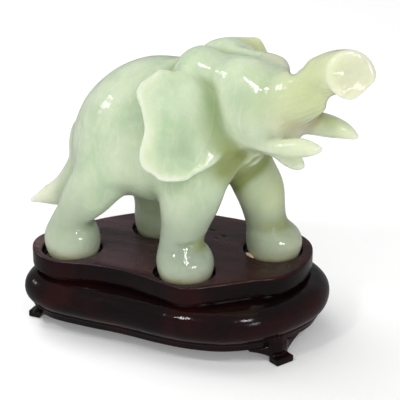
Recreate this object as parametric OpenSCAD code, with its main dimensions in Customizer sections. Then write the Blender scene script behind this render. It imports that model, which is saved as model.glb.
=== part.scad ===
/* [Figure feet and legs] */
// Distance along the figure between the two feet of one side
stance_length = 49; // [44:0.5:54]
// Distance across the figure between the right and the left feet
stance_width = 33; // [30:0.5:36]
// How far the left feet stand ahead of the right feet
stride = 22; // [14:0.5:24]
// Diameter of a foot at its widest
foot_d = 21.5; // [18:0.5:23]
// Height of the ankle above the sole
ankle_height = 16; // [13:0.5:19]
// Diameter of a leg at the ankle
ankle_d = 17.5; // [15:0.5:19]
// Diameter of a leg where it goes into the body
thigh_d = 26; // [22:0.5:30]

/* [Figure body] */
// Clear height from the soles to the belly
belly_clear = 24.5; // [20:0.5:30]
// Length of the body from rump to chest
body_length = 84; // [78:1:90]
// Width of the body
body_width = 50; // [46:1:54]
// Height of the body from belly to back
body_height = 54.5; // [48:0.5:60]
// Length of the tail along its path
tail_length = 31; // [26:1:34]
// Thickness of the tail
tail_d = 10; // [8:0.5:12]

/* [Figure head] */
// Angle that the head turns towards the right side
head_turn = 22; // [0:1:30]
// Length of the head from the neck to the root of the trunk
head_length = 50; // [46:1:54]
// Width of the head at the cheeks
head_width = 36; // [32:1:40]
// Height of the head
head_height = 37; // [34:1:40]
// Height of an ear
ear_height = 39.5; // [35:0.5:44]
// Reach of an ear from its root to its outer edge
ear_reach = 26; // [22:0.5:28]
// Thickness of an ear
ear_thick = 6; // [4:0.25:7]
// Length of the raised trunk along its path
trunk_length = 52; // [44:1:58]
// Diameter of the flared tip of the trunk
trunk_tip_d = 18.5; // [15:0.5:21]
// Length of a tusk outside the cheek
tusk_length = 31; // [24:1:36]
// Diameter of a tusk at its widest
tusk_d = 8.5; // [7:0.5:10]

/* [Stand] */
// Length of the top board
board_length = 105; // [103:0.5:115]
// Width of the top board
board_width = 68; // [66:0.5:76]
// Thickness of the top board
board_thick = 7.5; // [6.5:0.25:10]
// Depth of the four foot sockets
socket_depth = 3; // [2:0.25:3.5]
// Gap round a foot in its socket
socket_gap = 0.8; // [0.6:0.1:1.5]
// Thickness of the set-back waist board
waist_thick = 1.5; // [1:0.25:3]
// How far the waist is set back from the top board
waist_inset = 2; // [1:0.25:4]
// Thickness of the round base moulding
base_thick = 17; // [14:0.5:20]
// How far the base moulding stands out past the top board
base_overhang = 6; // [4:0.25:8]
// Height of the bracket feet
bracket_height = 7; // [6:0.5:10]
// Length of each wing of a bracket foot
bracket_wing = 13; // [10:0.5:15]
// Thickness of a bracket wing
bracket_thick = 4; // [3:0.25:5]
// Width of the pad under a bracket foot
pad_width = 8; // [6:0.5:9]
// Depth of the pad under a bracket foot
pad_depth = 5; // [4:0.25:7]
// How far a pad kicks out from its bracket
pad_kick = 2.75; // [1:0.25:4]

/* [Fixings] */
// Diameter of the dowels that hold the stand together
dowel_d = 6; // [4:0.5:8]
// Distance between the two dowels
dowel_spacing = 44; // [36:1:52]
// How deep a dowel goes into the base moulding
dowel_root = 9; // [6:0.5:11]
// Diameter of the pegs that hold the bracket feet
peg_d = 3; // [2:0.25:4]
// How deep a peg goes into the base moulding
peg_root = 6; // [4:0.5:8]
// Gap round a glued dowel or peg
glue_gap = 0.05; // [0.02:0.01:0.1]
// Radius of the bead of glue left in a socket
glue_bead = 0.7; // [0.5:0.05:0.8]

/* [Hidden] */
$fn = 48;

jade = "darkseagreen";
dark_wood = "#2a1512";
pale_wood = "burlywood";
glue = "cornsilk";

// Middle of the stand and of the figure's four feet, in the part's frame
stand_at = [-0.1276 * board_length, -0.016 * board_width];
figure_at = stand_at + [0.004 * board_length, -0.044 * board_width];

// Heights of the stacked pieces above the table
base_z = bracket_height;
waist_z = base_z + base_thick;
board_z = waist_z + waist_thick;
board_top = board_z + board_thick;
sole_gap = socket_gap / 16;
sole_z = board_top - socket_depth + sole_gap;

// Feet of the figure about their own middle: right hind, right front, left front, left hind
feet = [for (side = [-1, 1], end = [-1, 1] * side * -1)
    [end * stance_length / 2 + side * stride / 2, side * stance_width / 2]];

// Closed outline of the stand: round lobes about the feet with shallow hollows between
rim = [[-1.00, -0.44], [-0.90, -0.83], [-0.68, -0.98], [-0.40, -0.88], [-0.14, -0.85],
       [0.16, -0.93], [0.38, -0.97], [0.55, -0.78], [0.74, -0.50], [0.94, -0.22],
       [1.00, 0.22], [0.92, 0.70], [0.70, 0.96], [0.30, 1.01], [-0.04, 0.98],
       [-0.36, 0.86], [-0.60, 0.56], [-0.82, 0.12]];
rim_steps = 4;

function at_step(p0, p1, p2, p3, t) =
    0.5 * (2 * p1 + (p2 - p0) * t + (2 * p0 - 5 * p1 + 4 * p2 - p3) * t * t
    + (3 * p1 - p0 - 3 * p2 + p3) * t * t * t);
function smooth(keys, steps) = let (last = len(keys) - 1)
    [for (i = [0 : last - 1], s = [0 : steps - 1])
        at_step(keys[max(i - 1, 0)], keys[i], keys[i + 1], keys[min(i + 2, last)], s / steps),
     keys[last]];
function smooth_loop(keys, steps) = let (n = len(keys))
    [for (i = [0 : n - 1], s = [0 : steps - 1])
        at_step(keys[(i + n - 1) % n], keys[i], keys[(i + 1) % n], keys[(i + 2) % n], s / steps)];
function unit(v) = v / norm(v);
function outward(loop, i) = let (n = len(loop), along = loop[(i + 1) % n] - loop[(i + n - 1) % n])
    unit([along[1], -along[0]]);
function grown(loop, by) = [for (i = [0 : len(loop) - 1]) loop[i] + by * outward(loop, i)];

board_loop = [for (p = smooth_loop(rim, rim_steps))
    stand_at + [p[0] * board_length / 2, p[1] * board_width / 2]];

// Skin over a row of rings that all have the same number of points
module skin(rings) {
    n = len(rings[0]);
    last = len(rings) - 1;
    points = [for (r = rings) each r];
    sides = [for (k = [0 : last - 1], i = [0 : n - 1]) let (j = (i + 1) % n)
        each [[k * n + i, k * n + n + j, k * n + j], [k * n + i, k * n + n + i, k * n + n + j]]];
    caps = [[for (i = [0 : n - 1]) i], [for (i = [n - 1 : -1 : 0]) last * n + i]];
    polyhedron(points, concat(sides, caps), convexity = 4);
}

// Skin over ellipses given as centre, first half axis and second half axis
module limb(keys, steps, sides) {
    skin([for (k = smooth(keys, steps))
        [for (i = [0 : sides - 1]) k[0] + k[1] * cos(360 * i / sides) + k[2] * sin(360 * i / sides)]]);
}

// Point and radius of a tube's row, and the tube's ring there, square to its path
function point(row) = [row[0], row[1], row[2]];
function tube_ring(path, k, sides) = let (
    last = len(path) - 1,
    ahead = unit(point(path[min(k + 1, last)]) - point(path[max(k - 1, 0)])),
    across = unit(cross([0, 0, 1], ahead)),
    above = cross(ahead, across))
    [for (i = [0 : sides - 1])
        point(path[k]) + path[k][3] * (across * cos(360 * i / sides) + above * sin(360 * i / sides))];
module tube(rows, steps, sides) {
    path = smooth(rows, steps);
    skin([for (k = [0 : len(path) - 1]) tube_ring(path, k, sides)]);
}

// Body from rump to chest: place, rise, half width and half height, as shares of half the body's sizes
body_mid = [-0.03 * body_length, 0, belly_clear + body_height / 2];
body_shape = [[-0.97, -0.46, 0.06, 0.09], [-0.93, -0.45, 0.22, 0.36], [-0.78, -0.38, 0.52, 0.71],
              [-0.58, -0.22, 0.79, 0.89], [-0.30, -0.03, 0.98, 0.98], [0.05, 0.02, 1.00, 1.01],
              [0.37, 0.08, 0.94, 0.89], [0.65, 0.15, 0.80, 0.70], [0.88, 0.16, 0.52, 0.44],
              [0.98, 0.16, 0.12, 0.12]];
module body() limb([for (k = body_shape)
    [body_mid + [k[0] * body_length, 0, k[1] * body_height] / 2,
     [0, k[2] * body_width / 2, 0], [0, 0, k[3] * body_height / 2]]], 2, 22);

// Leg from its sole up into the body: height, radius, lean towards the hip and step forward of the toes,
// the last as a share of the foot's diameter
hip_z = belly_clear + 0.34 * body_height;
hip_y = 0.25 * body_width;
leg_shape = [[0, 0.43 * foot_d, 0, 0.023], [0.05 * ankle_height, 0.465 * foot_d, 0, 0.023],
             [0.29 * ankle_height, 0.5 * foot_d, 0, 0.023], [0.53 * ankle_height, 0.488 * foot_d, 0, 0.014],
             [0.73 * ankle_height, 0.545 * ankle_d, 0.03, -0.02],
             [0.88 * ankle_height, 0.495 * ankle_d, 0.08, -0.065],
             [1.06 * ankle_height, 0.49 * ankle_d, 0.16, -0.07],
             [1.31 * ankle_height, 0.53 * ankle_d, 0.28, -0.04], [0.7 * hip_z, 0.45 * thigh_d, 0.55, 0],
             [hip_z, 0.5 * thigh_d, 1, 0], [1.25 * hip_z, 0.35 * thigh_d, 1, 0]];
module leg(foot, hip, girth) limb([for (k = leg_shape) let (r = k[1] * (1 - k[2] + k[2] * girth))
    [[foot[0] + (hip[0] - foot[0]) * k[2] + k[3] * foot_d, foot[1] + (hip[1] - foot[1]) * k[2], k[0]],
     [r, 0, 0], [0, r, 0]]], 1, 18);

// Where each leg goes into the body, in the order of the feet: forward as a share of the body's length
hip_shares = [-0.172, 0.223, 0.317, -0.233];
hips = [for (i = [0 : 3]) [body_mid[0] + hip_shares[i] * body_length, i < 2 ? -hip_y : hip_y]];
girths = [1, 0.94, 0.78, 0.9];

// Flat tail from inside the rump: back and drop as shares of its length, half width and half height as
// shares of half its thickness
tail_root = body_mid + [-0.422 * body_length, 0, -0.454 * body_height];
tail_shape = [[0, 0, 1.30, 3.00], [-0.23, -0.15, 1.12, 2.08], [-0.33, -0.23, 1.00, 1.56],
              [-0.44, -0.30, 0.88, 1.18], [-0.62, -0.39, 0.66, 0.72], [-0.74, -0.455, 0.44, 0.40],
              [-0.85, -0.51, 0.24, 0.18]];
module tail() limb([for (k = tail_shape)
    [tail_root + [k[0], 0, k[1]] * tail_length, [0, -k[2] * tail_d / 2, 0], [0, 0, k[3] * tail_d / 2]]], 2, 14);

// Head, in a frame of its own that is turned to the right about the neck
neck_set_back = 0.208 * body_length;
head_drop = 0.165 * body_height;
head_mid = body_mid + [body_length / 2 - neck_set_back, 0, body_height / 2 - head_drop];
head_back = -0.28 * head_length;
head_shape = [[0.00, -0.10, 0.60, 0.60], [0.16, -0.05, 0.92, 0.92], [0.38, 0.00, 1.00, 0.98],
              [0.58, 0.02, 0.98, 0.98], [0.76, 0.04, 0.88, 0.86], [0.90, 0.06, 0.72, 0.66],
              [1.00, 0.06, 0.30, 0.30]];
module skull() limb([for (k = head_shape)
    [[head_back + k[0] * head_length, 0, k[1] * head_height / 2],
     [0, k[2] * head_width / 2, 0], [0, 0, k[3] * head_height / 2]]], 2, 18);

// Tube over rows of forward, outward, rise and radius, as shares of the head's height and, outward, its width
module bulge(side, rows, sides) tube([for (k = rows)
    [k[0] * head_height, side * k[1] * head_width, k[2] * head_height, k[3] * head_height]], 2, sides);

// Dome on top of the head, on the right and on the left
dome_right = [[-0.32, 0.22, 0.05, 0.13], [-0.20, 0.22, 0.17, 0.23], [-0.04, 0.22, 0.24, 0.27],
              [0.12, 0.22, 0.22, 0.25], [0.32, 0.22, 0.18, 0.12]];
dome_left = [[-0.43, 0.22, 0.07, 0.16], [-0.30, 0.22, 0.15, 0.27], [-0.16, 0.22, 0.18, 0.29],
             [0.04, 0.22, 0.18, 0.26], [0.26, 0.22, 0.15, 0.12]];

// Swelling that carries the ear, on the right and further back on the left
root_right = [[-0.05, 0.25, 0.24, 0.25], [0.03, 0.39, 0.18, 0.20], [0.10, 0.46, 0.05, 0.12],
              [0.16, 0.46, -0.11, 0.08]];
root_left = [[-0.18, 0.25, 0.17, 0.25], [-0.11, 0.39, 0.11, 0.20], [0.10, 0.46, -0.02, 0.12],
             [0.16, 0.46, -0.11, 0.08]];

// Brow in front of the dome, and how much lower it is on the left, as a share of the head's height
brow_shape = [[0.22, 0.18, 0.24, 0.19], [0.41, 0.18, 0.28, 0.23], [0.59, 0.18, 0.26, 0.21],
              [0.73, 0.17, 0.22, 0.15]];
brow_drop = 0.06;

// Groove between the cheek and the ear
valley_shape = [[0.15, 0.57, 0.31, 0.08], [0.22, 0.57, 0.19, 0.14], [0.28, 0.57, 0.03, 0.17],
                [0.33, 0.56, -0.15, 0.17], [0.41, 0.53, -0.31, 0.14], [0.50, 0.47, -0.45, 0.10]];

// Lower jaw and its hanging lip: forward, left, rise and radius, as shares of the head's length
jaw_shape = [[0.10, 0, -0.14, 0.22], [0.32, 0, -0.16, 0.19], [0.50, -0.01, -0.19, 0.13],
             [0.62, -0.03, -0.244, 0.085], [0.72, -0.04, -0.284, 0.07], [0.80, -0.04, -0.308, 0.052],
             [0.86, -0.04, -0.318, 0.02]];
module jaw() tube(jaw_shape * head_length, 2, 14);

// Raised trunk: forward, left and rise as shares of its length, and radius as a share of its tip's
trunk_root = [0.52 * head_length, 0, 0.11 * head_height];
trunk_shape = [[0, 0, -0.06, 1.40], [0.18, 0, 0.06, 1.12], [0.35, 0, 0.18, 0.96], [0.49, -0.015, 0.30, 0.79],
               [0.63, -0.05, 0.37, 0.78], [0.75, -0.08, 0.39, 0.87], [0.85, -0.11, 0.395, 0.92],
               [0.96, -0.145, 0.395, 0.93]];

// Flat end of the trunk: its middle as shares of the trunk's length, its turn to the left and its tilt up
trunk_end = [0.785, -0.115, 0.40];
end_turn = -33;
end_tilt = 16;
module trunk() difference() {
    tube([for (k = trunk_shape)
        concat(trunk_root + [k[0], k[1], k[2]] * trunk_length, k[3] * trunk_tip_d / 2)], 2, 16);
    translate(trunk_root + trunk_end * trunk_length) rotate([0, -end_tilt, end_turn])
        translate([0, -trunk_tip_d, -trunk_tip_d]) cube(2 * trunk_tip_d);
}

// Leaf-shaped tusks: forward and rise as shares of the length, and radius as a share of half the thickness
tusk_root = [0.56 * head_length, 0.25 * head_width, -0.22 * head_height];
tusk_right = [[-0.13, -0.06, 0.61], [0.07, -0.05, 0.59], [0.26, -0.02, 0.66], [0.48, 0.035, 0.80],
              [0.68, 0.09, 0.80], [0.86, 0.13, 0.50], [1, 0.165, 0.17]];
tusk_left = [[-0.13, 0.05, 0.80], [0.07, 0.095, 0.89], [0.32, 0.14, 1], [0.55, 0.17, 0.94],
             [0.74, 0.18, 0.73], [0.89, 0.165, 0.45], [1, 0.15, 0.17]];
module tusk(side, rows) tube([for (k = rows)
    concat([tusk_root[0] + k[0] * tusk_length, side * tusk_root[1], tusk_root[2] + k[1] * tusk_length],
           k[2] * tusk_d / 2)], 2, 12);

// Ear from top to bottom, with a top of its own on each side: drop as a share of its height, root forward and
// outward as shares of the head's width, reach back and outward as shares of the ear's, thickness and flare
// forward as shares of the ear's thickness
ear_top = 0.342 * ear_height;
ear_top_right = [[0.04, -0.10, 0.62, 0.14, 0.20, 0.67, 0.00],
                 [0.09, 0.00, 0.49, 0.32, 0.55, 0.93, 0.00],
                 [0.16, 0.12, 0.39, 0.49, 0.83, 1.03, 0.00],
                 [0.31, 0.19, 0.36, 0.41, 0.92, 1.03, 0.00]];
ear_top_left = [[-0.04, -0.17, 0.36, -0.09, 0.35, 0.67, 0.00],
                [0.04, -0.12, 0.36, -0.08, 0.39, 0.80, 0.00],
                [0.13, -0.06, 0.38, 0.01, 0.44, 0.87, 0.00],
                [0.20, 0.07, 0.39, 0.33, 0.65, 0.93, 0.00],
                [0.29, 0.17, 0.39, 0.52, 0.83, 1.00, 0.00],
                [0.38, 0.24, 0.36, 0.44, 0.92, 1.00, 0.00]];
ear_low = [[0.51, 0.25, 0.33, 0.43, 0.96, 0.97, 0.00],
           [0.63, 0.28, 0.33, 0.55, 0.96, 0.93, 0.08],
           [0.73, 0.28, 0.33, 0.62, 0.95, 0.87, 0.30],
           [0.81, 0.26, 0.38, 0.62, 0.86, 0.87, 0.53],
           [0.88, 0.24, 0.47, 0.55, 0.68, 0.83, 0.77],
           [0.93, 0.18, 0.62, 0.31, 0.38, 0.70, 0.93]];
function ear_key(k) = let (
    way = [-k[3], k[4], 0] * ear_reach / 2,
    ahead = unit([way[1], -way[0], 0]))
    [[k[1] * head_width, k[2] * head_width, ear_top - k[0] * ear_height] + way + k[6] * ear_thick * ahead,
     way, k[5] * ear_thick / 2 * ahead];
module ear(side, rows) mirror([0, side < 0 ? 1 : 0, 0]) limb([for (k = rows) ear_key(k)], 2, 16);

module head_side(side, dome, root, brow) {
    bulge(side, dome, 14);
    bulge(side, root, 12);
    bulge(side, brow, 12);
}
module head() {
    difference() {
        union() {
            skull();
            head_side(-1, dome_right, root_right, brow_shape);
            head_side(1, dome_left, root_left, [for (k = brow_shape) k - [0, 0, brow_drop, 0]]);
        }
        for (side = [-1, 1]) bulge(side, valley_shape, 12);
    }
    jaw();
    trunk();
    tusk(-1, tusk_right);
    tusk(1, tusk_left);
    ear(-1, concat(ear_top_right, ear_low));
    ear(1, concat(ear_top_left, ear_low));
}
module jade_elephant() color(jade) translate([figure_at[0], figure_at[1], sole_z]) {
    body();
    tail();
    for (i = [0 : 3]) leg(feet[i], hips[i], girths[i]);
    translate(head_mid) rotate([0, 0, -head_turn]) head();
}

// Dowels stop short of the sockets above them
dowel_cover = 0.13 * board_thick;
dowel_top = board_top - socket_depth - dowel_cover;
dowel_low = waist_z - dowel_root;
module at_dowels() for (side = [-1, 1])
    translate([stand_at[0] + side * dowel_spacing / 2, stand_at[1], 0]) children();
module dowel_holes() at_dowels() translate([0, 0, dowel_low - glue_gap])
    cylinder(d = dowel_d + 2 * glue_gap, h = dowel_top - dowel_low + 2 * glue_gap);
module board_dowels() color(pale_wood) at_dowels() translate([0, 0, dowel_low])
    cylinder(d = dowel_d, h = dowel_top - dowel_low);

module top_board() color(dark_wood) difference() {
    translate([0, 0, board_z]) linear_extrude(board_thick) polygon(board_loop);
    for (f = feet) translate([figure_at[0] + f[0], figure_at[1] + f[1], board_top - socket_depth])
        cylinder(d = foot_d + 2 * socket_gap, h = socket_depth + 1);
    dowel_holes();
}

module waist_board() color(dark_wood) difference() {
    translate([0, 0, waist_z]) linear_extrude(waist_thick) polygon(grown(board_loop, -waist_inset));
    dowel_holes();
}

// Outline of the base moulding: fuller than the board's, with its hollows eased, as shares of its half sizes
base_rim = [[-0.95, -0.38], [-0.90, -0.74], [-0.70, -0.91], [-0.43, -0.93], [-0.14, -0.91],
            [0.14, -0.92], [0.38, -0.89], [0.61, -0.78], [0.82, -0.53], [0.95, -0.16],
            [1.00, 0.24], [0.91, 0.63], [0.67, 0.90], [0.34, 1.00], [-0.03, 0.97],
            [-0.35, 0.81], [-0.63, 0.51], [-0.84, 0.08]];
base_half = [board_length / 2 + base_overhang, board_width / 2 + base_overhang];
base_at = stand_at + [0.0143 * board_length, 0];
base_loop = [for (p = smooth_loop(base_rim, rim_steps))
    base_at + [p[0] * base_half[0], p[1] * base_half[1]]];

// Side of the base moulding from its lower band up: set-back as a share of the overhang, and height
base_side = [[0.75, 0.00], [0.75, 0.14], [0.57, 0.16], [0.52, 0.20], [0.25, 0.31], [0.05, 0.45],
             [0.00, 0.58], [0.07, 0.74], [0.30, 0.87], [0.65, 0.96], [1.10, 1.00]];
module base_moulding() color(dark_wood) difference() {
    skin([for (k = base_side) [for (p = grown(base_loop, -k[0] * base_overhang))
        [p[0], p[1], base_z + k[1] * base_thick]]]);
    dowel_holes();
    for (f = brackets) peg_hole(f);
}

// Bracket feet: where each one stands along the base's outline, counted in points of that outline
brackets = [34, 47, 1, 66];
bracket_set_back = base_side[2][0] * base_overhang + 0.4 * pad_width;
pad_height = 0.4 * bracket_height;
wing_angle = 107;
peg_low = pad_height;
peg_in = 0.16 * pad_width;
module at_bracket(f) {
    way = outward(base_loop, f);
    place = base_loop[f] - bracket_set_back * way;
    translate([place[0], place[1], 0]) rotate(atan2(way[1], way[0])) children();
}
module peg_hole(f) at_bracket(f) translate([-peg_in, 0, peg_low - glue_gap])
    cylinder(d = peg_d + 2 * glue_gap, h = base_z + peg_root - peg_low + 2 * glue_gap);
module foot_pegs() color(pale_wood) for (f = brackets) at_bracket(f) translate([-peg_in, 0, peg_low])
    cylinder(d = peg_d, h = base_z + peg_root - peg_low);

// Plan of a bracket: a block round the peg with two wings that lean back along the base's edge
wing_tip = 0.15 * bracket_thick;
pad_overlap = pad_height / 3;
wing_way = [cos(wing_angle), sin(wing_angle)];
wing_in = [-sin(wing_angle), cos(wing_angle)];
nose = [pad_width / 2, 0];
block_y = 0.4 * pad_width;
wing_end = nose + bracket_wing * wing_way;
elbow = nose + bracket_thick * wing_in + (block_y - bracket_thick * wing_in[1]) / wing_way[1] * wing_way;
half_plan = [wing_end, wing_end + bracket_thick * wing_in, elbow, [-pad_width / 2, block_y]];
plan = concat([nose], half_plan, [for (i = [3 : -1 : 0]) [half_plan[i][0], -half_plan[i][1]]]);

// Hollow under a wing, from the pad out to the wing's thin tip
module hollow() {
    run = bracket_wing - pad_width / 2;
    spring = 0.9 * pad_height;
    rise = bracket_height - spring - wing_tip;
    past = 1.15 * bracket_wing;
    reach = 1.5 * bracket_thick;
    curve = [for (t = [1 : -0.2 : 0]) [pad_width / 2 + run * t, spring + rise * pow(t, 0.75)]];
    translate([0, reach, 0]) rotate([90, 0, 0]) linear_extrude(2 * reach)
        polygon(concat([[pad_width / 2, 0], [past, 0], [past, bracket_height - wing_tip]], curve));
}
module bracket(f) color(dark_wood) difference() {
    at_bracket(f) {
        translate([nose[0] + pad_kick - pad_depth, -pad_width / 2, 0])
            cube([pad_depth, pad_width, pad_height]);
        difference() {
            translate([0, 0, pad_height - pad_overlap])
                linear_extrude(bracket_height - pad_height + pad_overlap) polygon(plan);
            for (side = [-1, 1]) translate([nose[0], 0, 0]) rotate(side * wing_angle) hollow();
        }
    }
    peg_hole(f);
}
module foot_front_right() bracket(brackets[0]);
module foot_front_left() bracket(brackets[1]);
module foot_rear_right() bracket(brackets[2]);
module foot_rear_left() bracket(brackets[3]);

// Bead of glue on the floor of the left front socket, between the foot and the wall
bead_angle = -118;
bead_gap = socket_gap / 8;
bead_foot = figure_at + feet[2];
module glue_bead_dab() color(glue) translate([bead_foot[0], bead_foot[1], board_top - socket_depth])
    rotate(bead_angle) translate([foot_d / 2 + socket_gap - glue_bead - bead_gap, 0, 0]) intersection() {
        sphere(glue_bead);
        translate([-glue_bead, -glue_bead, 0]) cube(2 * glue_bead);
    }

jade_elephant();
top_board();
waist_board();
base_moulding();
foot_front_right();
foot_front_left();
foot_rear_right();
foot_rear_left();
board_dowels();
foot_pegs();
glue_bead_dab();
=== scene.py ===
"""Looks of a carved jade elephant that stands in the foot sockets of a lacquered wooden stand."""

import logging
from dataclasses import dataclass, field
from enum import Enum
from functools import partial, reduce

import bpy
import numpy as np
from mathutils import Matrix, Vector


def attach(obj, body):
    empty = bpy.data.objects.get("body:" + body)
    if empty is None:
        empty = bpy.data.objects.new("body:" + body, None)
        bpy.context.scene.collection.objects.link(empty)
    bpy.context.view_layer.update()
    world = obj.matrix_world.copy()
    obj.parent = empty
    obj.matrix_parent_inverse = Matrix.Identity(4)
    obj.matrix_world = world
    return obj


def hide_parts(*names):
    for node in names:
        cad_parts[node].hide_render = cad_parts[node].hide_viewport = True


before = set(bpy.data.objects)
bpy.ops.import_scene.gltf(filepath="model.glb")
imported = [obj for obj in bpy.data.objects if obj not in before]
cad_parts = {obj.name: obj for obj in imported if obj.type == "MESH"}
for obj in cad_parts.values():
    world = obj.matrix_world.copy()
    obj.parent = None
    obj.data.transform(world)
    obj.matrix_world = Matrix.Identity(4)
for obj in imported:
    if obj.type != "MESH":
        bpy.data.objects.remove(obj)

log = logging.getLogger("jade_elephant")
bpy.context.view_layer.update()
MM = 0.001
FEET_AT = (-12.98, -4.08)  # middle of the elephant's feet in the part's frame
OUTSIDE = 99.0  # distance that a carving starts with
HELD = 8.0  # distance that a carving keeps at most when it is evened out
ROOM = 3.0  # room about a shape, besides its fillet, in which it is worked out
Array = np.ndarray
Block = tuple[Array, Array, Array]
Colour = tuple[float, float, float]
Rows = tuple[tuple[float, float, float, float], ...]
Piece = bpy.types.Object
Material = bpy.types.Material
Socket = bpy.types.NodeSocket
Tree = bpy.types.NodeTree


class Side(Enum):
    """Sides of the elephant, as the sign of the way across its body."""

    RIGHT = -1
    LEFT = 1


class Leg(Enum):
    """Legs by foot and hip, forward and left of the feet's middle, and the girth of the thigh."""

    RIGHT_HIND = (-35.5, -16.5, -17.0, -12.5, 1.0)
    RIGHT_FORE = (13.5, -16.5, 16.2, -12.5, 0.94)
    LEFT_FORE = (35.5, 16.5, 24.1, 12.5, 0.78)
    LEFT_HIND = (-13.5, 16.5, -22.1, 12.5, 0.9)


class Bracket(Enum):
    """Bracket feet of the stand: the solid each stands for, and its place along the base's outline."""

    FRONT_RIGHT = ("foot_front_right", 34 / 72)
    FRONT_LEFT = ("foot_front_left", 47 / 72)
    REAR_RIGHT = ("foot_rear_right", 1 / 72)
    REAR_LEFT = ("foot_rear_left", 66 / 72)


# Curves


def hermite(keys: Array, at: Array) -> Array:
    """Carry the columns of a table smoothly from row to row.

    Each span is the cubic that meets its two rows with slopes taken from the rows beside them.

    Args:
        keys: Rows with a rising place in the first column and values in the others.
        at: Places to work the values out at.

    Returns:
        One row of values for each place.
    """
    place, value = keys[:, 0], keys[:, 1:]
    slope = np.gradient(value, place, axis=0)
    i = np.clip(np.searchsorted(place, at) - 1, 0, len(place) - 2)
    span = (place[i + 1] - place[i])[:, None]
    t = (at - place[i])[:, None] / span
    rise, start, end = value[i + 1] - value[i], slope[i] * span, slope[i + 1] * span
    return value[i] + t * start + t ** 2 * (3 * rise - 2 * start - end) + t ** 3 * (start + end - 2 * rise)


def closed_spline(points: Array, steps: int) -> Array:
    """Join points by a closed smooth curve, each span the Catmull-Rom cubic of the four points about it.

    Args:
        points: Corner points of the curve, in order.
        steps: Points on each span.

    Returns:
        The points of the whole curve.
    """
    p0, p1, p2, p3 = (np.roll(points, k, axis=0)[:, None, :] for k in (1, 0, -1, -2))
    t = (np.arange(steps) / steps)[None, :, None]
    curve = 0.5 * (2 * p1 + (p2 - p0) * t + (2 * p0 - 5 * p1 + 4 * p2 - p3) * t ** 2
                   + (3 * p1 - p0 - 3 * p2 + p3) * t ** 3)
    return curve.reshape(-1, points.shape[1])


def outward(loop: Array) -> Array:
    """Give the unit normals of a closed curve, from the way between the points before and after.

    Args:
        loop: Points of the curve, anticlockwise.

    Returns:
        One normal per point, pointing out of the curve.
    """
    along = np.roll(loop, -1, axis=0) - np.roll(loop, 1, axis=0)
    normal = np.stack([along[:, 1], -along[:, 0]], axis=1)
    return normal / np.linalg.norm(normal, axis=1, keepdims=True)


def ring(radius: float, sides: int, wobble: float = 0.0, phase: float = 0.0) -> Array:
    """Give the points of a circle, with a slight hand-cut wobble of two and three waves.

    Args:
        radius: Mean radius.
        sides: How many points.
        wobble: Height of the waves.
        phase: Where they start, in radians.

    Returns:
        The points, anticlockwise.
    """
    turn = np.arange(sides) * 2 * np.pi / sides
    reach = radius + wobble * (np.sin(2 * turn + phase) + 0.6 * np.sin(3 * turn + 2 * phase))
    return np.stack([reach * np.cos(turn), reach * np.sin(turn)], axis=1)


def unit(*way: float) -> Array:
    """Give a direction of length one."""
    return np.array(way) / np.linalg.norm(way)


# Solids as distance fields


def smooth_min(a: Array, b: Array, blend: float) -> Array:
    """Join two distance fields with a rounded fillet.

    The lower of the two, less a parabola that is deepest where they are equal and ends at the blend width.

    Args:
        a: First field.
        b: Second field.
        blend: Width of the fillet.

    Returns:
        The joined field.
    """
    share = np.clip(0.5 + 0.5 * (b - a) / blend, 0.0, 1.0)
    return b + (a - b) * share - blend * share * (1.0 - share)


@dataclass(frozen=True)
class Place:
    """A point with three directions, in the frame of the carving.

    Attributes:
        origin: The point.
        axes: The directions, one per row.
    """

    origin: Array = field(default_factory=lambda: np.zeros(3))
    axes: Array = field(default_factory=lambda: np.eye(3))

    def turned(self, degrees: float) -> "Place":
        """Give the same place turned about the vertical."""
        c, s = np.cos(np.radians(degrees)), np.sin(np.radians(degrees))
        return Place(self.origin, np.array([[c, s, 0.0], [-s, c, 0.0], [0.0, 0.0, 1.0]]) @ self.axes)

    def led_by(self, first: int, second: int, sign: float = 1.0) -> "Place":
        """Give the same place with its axes in another order, the first of them with a sign."""
        third = 3 - first - second
        return Place(self.origin, np.stack([sign * self.axes[first], self.axes[second], self.axes[third]]))

    def moved(self, *by: float) -> "Place":
        """Give the same directions from a point moved along them."""
        return Place(self.outer(np.array(by)), self.axes)

    def outer(self, points: Array) -> Array:
        """Take points from this place's directions to the carving's frame."""
        return self.origin + points @ self.axes

    def inner(self, x: Array, y: Array, z: Array) -> Block:
        """Take a block of points from the carving's frame to this place's directions."""
        x, y, z = x - self.origin[0], y - self.origin[1], z - self.origin[2]
        return tuple(np.asarray(r[0] * x + r[1] * y + r[2] * z, np.float32) for r in self.axes)


class Shape:
    """A solid given by its distance field, which is below zero inside."""

    def box(self) -> tuple[Array, Array]:
        """Give the lowest and the highest corner of a box that holds the solid."""
        raise NotImplementedError

    def distance(self, x: Array, y: Array, z: Array) -> Array:
        """Work the field out on a block of points, given as their places along the three axes."""
        raise NotImplementedError


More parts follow.
